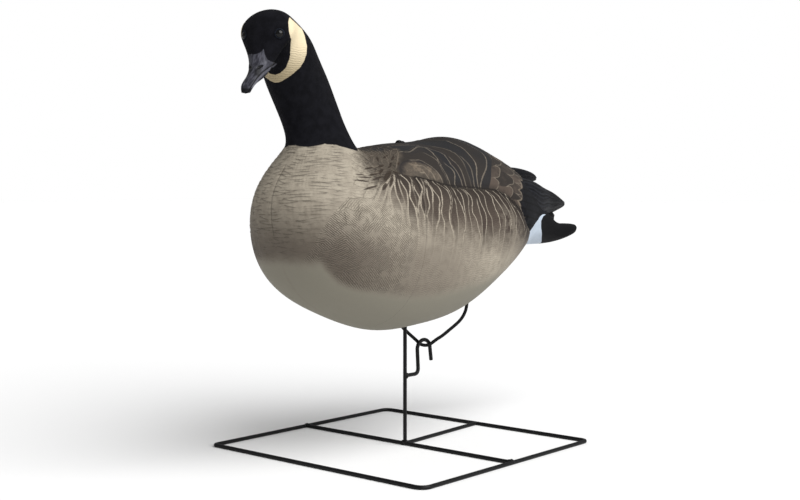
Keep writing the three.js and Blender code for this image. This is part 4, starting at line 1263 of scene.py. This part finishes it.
for name, side in (("left_eye", 1), ("right_eye", -1)):
    centre, normal = eye_centre(side)
    swell = np.linspace(0.04, math.pi - 0.04, 28)
    ball = [(EYE_RADIUS * math.sin(a), -EYE_RADIUS * math.cos(a)) for a in swell]
    grid_piece(name + "_glass", turned_grid(ball, normal, centre), eye_gloss.material,
               dome=0.01, replaces=(name,), slot="eye")
    around = np.linspace(0, 2 * math.pi, 17)[:-1]
    rim_radius = EYE_RADIUS * 0.86
    lid_height = EYE_RADIUS - EYE_PROUD + 0.35
    lid = [(rim_radius + 0.85 * math.cos(a), lid_height + 0.6 * math.sin(a)) for a in around]
    rings = turned_grid(lid, normal, centre)
    mesh_of(name + "_lid", rings.reshape(-1, 3), ring_faces(*rings.shape[:2], closed=True),
            lid_flock.material, slot="moulded_body")


# The stand's wire

wire_coat = grained("wire_coat", 6, 4, (7, 7, 8), (16, 16, 17), (0.35, 0.75), (0.36, 0.22), 0.18,
                    (0.7, 0.12), 0.15)
cord_skin = grained("cord_skin", 4, 3, (6, 6, 7), (14, 14, 15), None, (0.5, 0.2), 0.12, (0.6, 0.12))


def wire(name, path, node, radius=WIRE_RADIUS, step=6, closed=False, up=(0, 0, 1), slot="wire",
         finish=wire_coat):
    """A round wire along a path, with rounded ends where it is open."""
    path = np.asarray(path, float)
    radii = radius
    if not closed:
        path = resampled(path, step)
        ends = radius * np.sqrt(1 - np.array([0.98, 0.75, 0.4]) ** 2)
        inset = np.array([0.02, 0.25, 0.6])[:, None]
        head = path[0] + unit(path[1] - path[0]) * inset
        tail = path[-1] + unit(path[-2] - path[-1]) * inset[::-1]
        path = np.concatenate([head, path[1:-1], tail])
        radii = np.concatenate([ends, np.full(len(path) - 6, radius), ends[::-1]])
    rings = tube(path, radii, closed=closed, up=up)
    points = rings.reshape(-1, 3) if closed else with_hubs(rings, 0.02)
    return mesh_of(name, points, ring_faces(*rings.shape[:2], closed=closed), finish.material,
                   replaces=(node,), slot=slot)


def ring_path():
    half_x = RING_WIDTH / 2
    half_y = RING_DEPTH / 2
    corners = ((1, -1, -math.pi / 2), (1, 1, 0), (-1, 1, math.pi / 2), (-1, -1, math.pi))
    path = []
    for (sx, sy, start), bend in zip(corners, RING_BENDS):
        for heading in np.linspace(start, start + math.pi / 2, 12):
            path.append((RING_OFFSET + sx * (half_x - bend) + bend * math.cos(heading),
                         sy * (half_y - bend) + bend * math.sin(heading), WIRE_RADIUS))
    path = np.array(path)
    filled = []
    for a, b in zip(path, np.roll(path, -1, 0)):
        count = max(1, int(np.linalg.norm(b - a) / 12))
        filled += [a + (b - a) * k / count for k in range(count)]
    return np.array(filled)


reach = RING_WIDTH / 2 - BAR_INSET
wire("ring_wire", ring_path(), "base_ring", closed=True)
cross_ends = [(RING_OFFSET + side * reach, 0, WIRE_RADIUS) for side in (-1, 1)]
wire("cross_wire", cross_ends, "crossbar")
brace_end = RING_DEPTH / 2 - BAR_INSET
wire("brace_wire", [(-0.1, 1.2, WIRE_RADIUS), (BRACE_LEAN * brace_end, brace_end, WIRE_RADIUS)], "brace_bar")
wire("rod_wire", [(0, 0, 3.2), (0, 0, ROD_TOP)], "upright_rod", up=(0, 1, 0))

spring_z = ARM_HEIGHT + HOOK_LEG
arch_half = ARCH_WIDTH / 2
arch_y = HOOK_REACH - LEG_LEAN + arch_half
hook = [(0, 1.5, ARM_HEIGHT)]
for share in np.linspace(0, 1, 9):
    hook.append((0, HOOK_REACH - HOOK_BEND * (1 - share) ** 2, ARM_HEIGHT + HOOK_BEND * share ** 2))
for heading in np.linspace(math.pi, 0, 25):
    hook.append((0, arch_y + arch_half * math.cos(heading), spring_z + ARCH_RISE * math.sin(heading)))
hook.append((0, arch_y + arch_half + TAIL_LEAN, spring_z - HOOK_TAIL))
wire("hook_wire", hook, "line_hook", step=1.6, up=(1, 0, 0))


def weld(name, centre, size, seed):
    """A lump of weld: a ball of two spreads, uneven as a hand leaves it."""
    rows = np.linspace(0.05, math.pi - 0.05, 16)
    grid = turned_grid([(math.sin(a), -math.cos(a)) for a in rows], (0, 0, 1), (0, 0, 0), sides=24)
    lump = 1 + 0.12 * waves(seed, grid[..., 0] * 8, grid[..., 1] * 8 + grid[..., 2] * 5, 9)
    points = grid * lump[..., None] * np.asarray(size) + np.asarray(centre)
    grid_piece(name, points, wire_coat.material, dome=0.05, slot="wire")


for number, (name, centre, size) in enumerate(WELDS):
    weld(name, centre, size, 31 + number)


def centripetal(points, count=6):
    """A centripetal curve through points, with a count of steps between two of them."""
    points = np.concatenate([[2 * points[0] - points[1]], points, [2 * points[-1] - points[-2]]])
    curve = []
    for k in range(1, len(points) - 2):
        p = points[k - 1:k + 3]
        gaps = np.linalg.norm(np.diff(p, axis=0), axis=1) ** 0.5
        before, here, after = np.diff(p, axis=0) / gaps[:, None]
        ease1 = (before - (p[2] - p[0]) / (gaps[0] + gaps[1]) + here) * gaps[1]
        ease2 = (here - (p[3] - p[1]) / (gaps[1] + gaps[2]) + after) * gaps[1]
        for s in np.arange(count) / count:
            far = 3 * s ** 2 - 2 * s ** 3
            eased = (s ** 3 - 2 * s ** 2 + s) * ease1 + (s ** 3 - s ** 2) * ease2
            curve.append((1 - far) * p[1] + far * p[2] + eased)
    curve.append(points[-2])
    return np.array(curve)


cord_path = centripetal(CORD_ROUTE * np.array([CORD_ASIDE, 1, 1]))
wire("cord", cord_path, "tether_cord", radius=CORD_RADIUS, step=2, up=(1, 0, 0), slot="cord",
     finish=cord_skin)

# The cap on the back
cap_rubber = grained("cap_rubber", 2.5, 3, (5, 5, 6), (12, 12, 13), None, (0.5, 0.15), 0.12, (0.7, 0.15))
cap_low, cap_high = (np.array(c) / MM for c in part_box("back_cap"))
cap_y = (cap_low[1] + cap_high[1]) / 2
cap_profile = [(5.2, 0), (6.0, 0.05), (6.3, 0.5), (6.3, 2.6), (6.0, 3.2), (5.4, 3.4), (3, 3.45), (0.3, 3.5)]
grid_piece("cap_base", turned_grid(cap_profile, (0, 0, 1), (0, cap_y, cap_low[2])), cap_rubber.material,
           dome=0.02, replaces=("back_cap",), slot="cap")
rows = np.linspace(0.06, math.pi - 0.06, 20)
dome_grid = turned_grid([(4 * math.sin(a), -2.4 * math.cos(a)) for a in rows], (0, 0, 1),
                        (0, cap_low[1] + 4, cap_high[2] - 2.4))
grid_piece("cap_lobe", dome_grid, cap_rubber.material, dome=0.02, slot="cap")
squarish = np.arange(32) * 2 * math.pi / 32
square = np.stack([np.sign(np.cos(squarish)) * np.abs(np.cos(squarish)) ** 0.4,
                   np.sign(np.sin(squarish)) * np.abs(np.sin(squarish)) ** 0.4], -1)[::-1]
tab_rows = [(1.4, 0), (1.75, 0.4), (1.75, 3.6), (1.6, 4.2), (1.2, 4.5), (0.4, 4.6)]
tab = np.array([np.concatenate([square * r + (0, cap_high[1] - 2.1), np.full((32, 1), cap_low[2] + h)], 1)
                for r, h in tab_rows])
grid_piece("cap_tab", tab[:, ::-1], cap_rubber.material, dome=0.02, slot="cap")

# The camera, the floor and the light

def added(name, data):
    """An object of the data in the scene."""
    item = bpy.data.objects.new(name, data)
    bpy.context.scene.collection.objects.link(item)
    return item


camera = bpy.data.cameras.new("camera")
camera.sensor_width = 36
camera.lens = CAMERA_FOCUS / FRAME_SIZE[0] * 36
camera_object = added("camera", camera)
pose = Matrix(np.stack([CAMERA_RIGHT, CAMERA_UP, CAMERA_BACK], -1).tolist()).to_4x4()
pose.translation = Vector(CAMERA_AT * MM)
camera_object.matrix_world = pose
bpy.context.scene.camera = camera_object

floor_paint = Finish("floor_paint")
floor_paint.set("Base Color", (0.8, 0.8, 0.8, 1))
floor_paint.set("Roughness", 0.9)
floor_paint.set("Specular IOR Level", 0.1)
floor_mesh = bpy.data.meshes.new("floor")
size = 30  # metres to each side
corners = [(-size, -size, 0), (size, -size, 0), (size, size, 0), (-size, size, 0)]
floor_mesh.from_pydata(corners, [], [(0, 1, 2, 3)])
floor_mesh.materials.append(floor_paint.material)
added("floor", floor_mesh)

sun = bpy.data.lights.new("sun", "SUN")
sun.energy = 4.4
sun.angle = math.radians(60)
added("sun", sun).rotation_euler = Vector((0.85, 0, 0.8)).to_track_quat("Z", "Y").to_euler()

# The room is white to look at, and gives a softer light
world = bpy.data.worlds.new("world")
world.use_nodes = True
bpy.context.scene.world = world
nodes = world.node_tree.nodes
links = world.node_tree.links
seen = nodes.new("ShaderNodeLightPath")
strength = nodes.new("ShaderNodeMapRange")
strength.inputs["To Min"].default_value = 0.35
strength.inputs["To Max"].default_value = 1
links.new(seen.outputs["Is Camera Ray"], strength.inputs["Value"])
links.new(strength.outputs["Result"], nodes["Background"].inputs["Strength"])
nodes["Background"].inputs["Color"].default_value = (1, 1, 1, 1)
bpy.context.scene.view_settings.view_transform = "Standard"
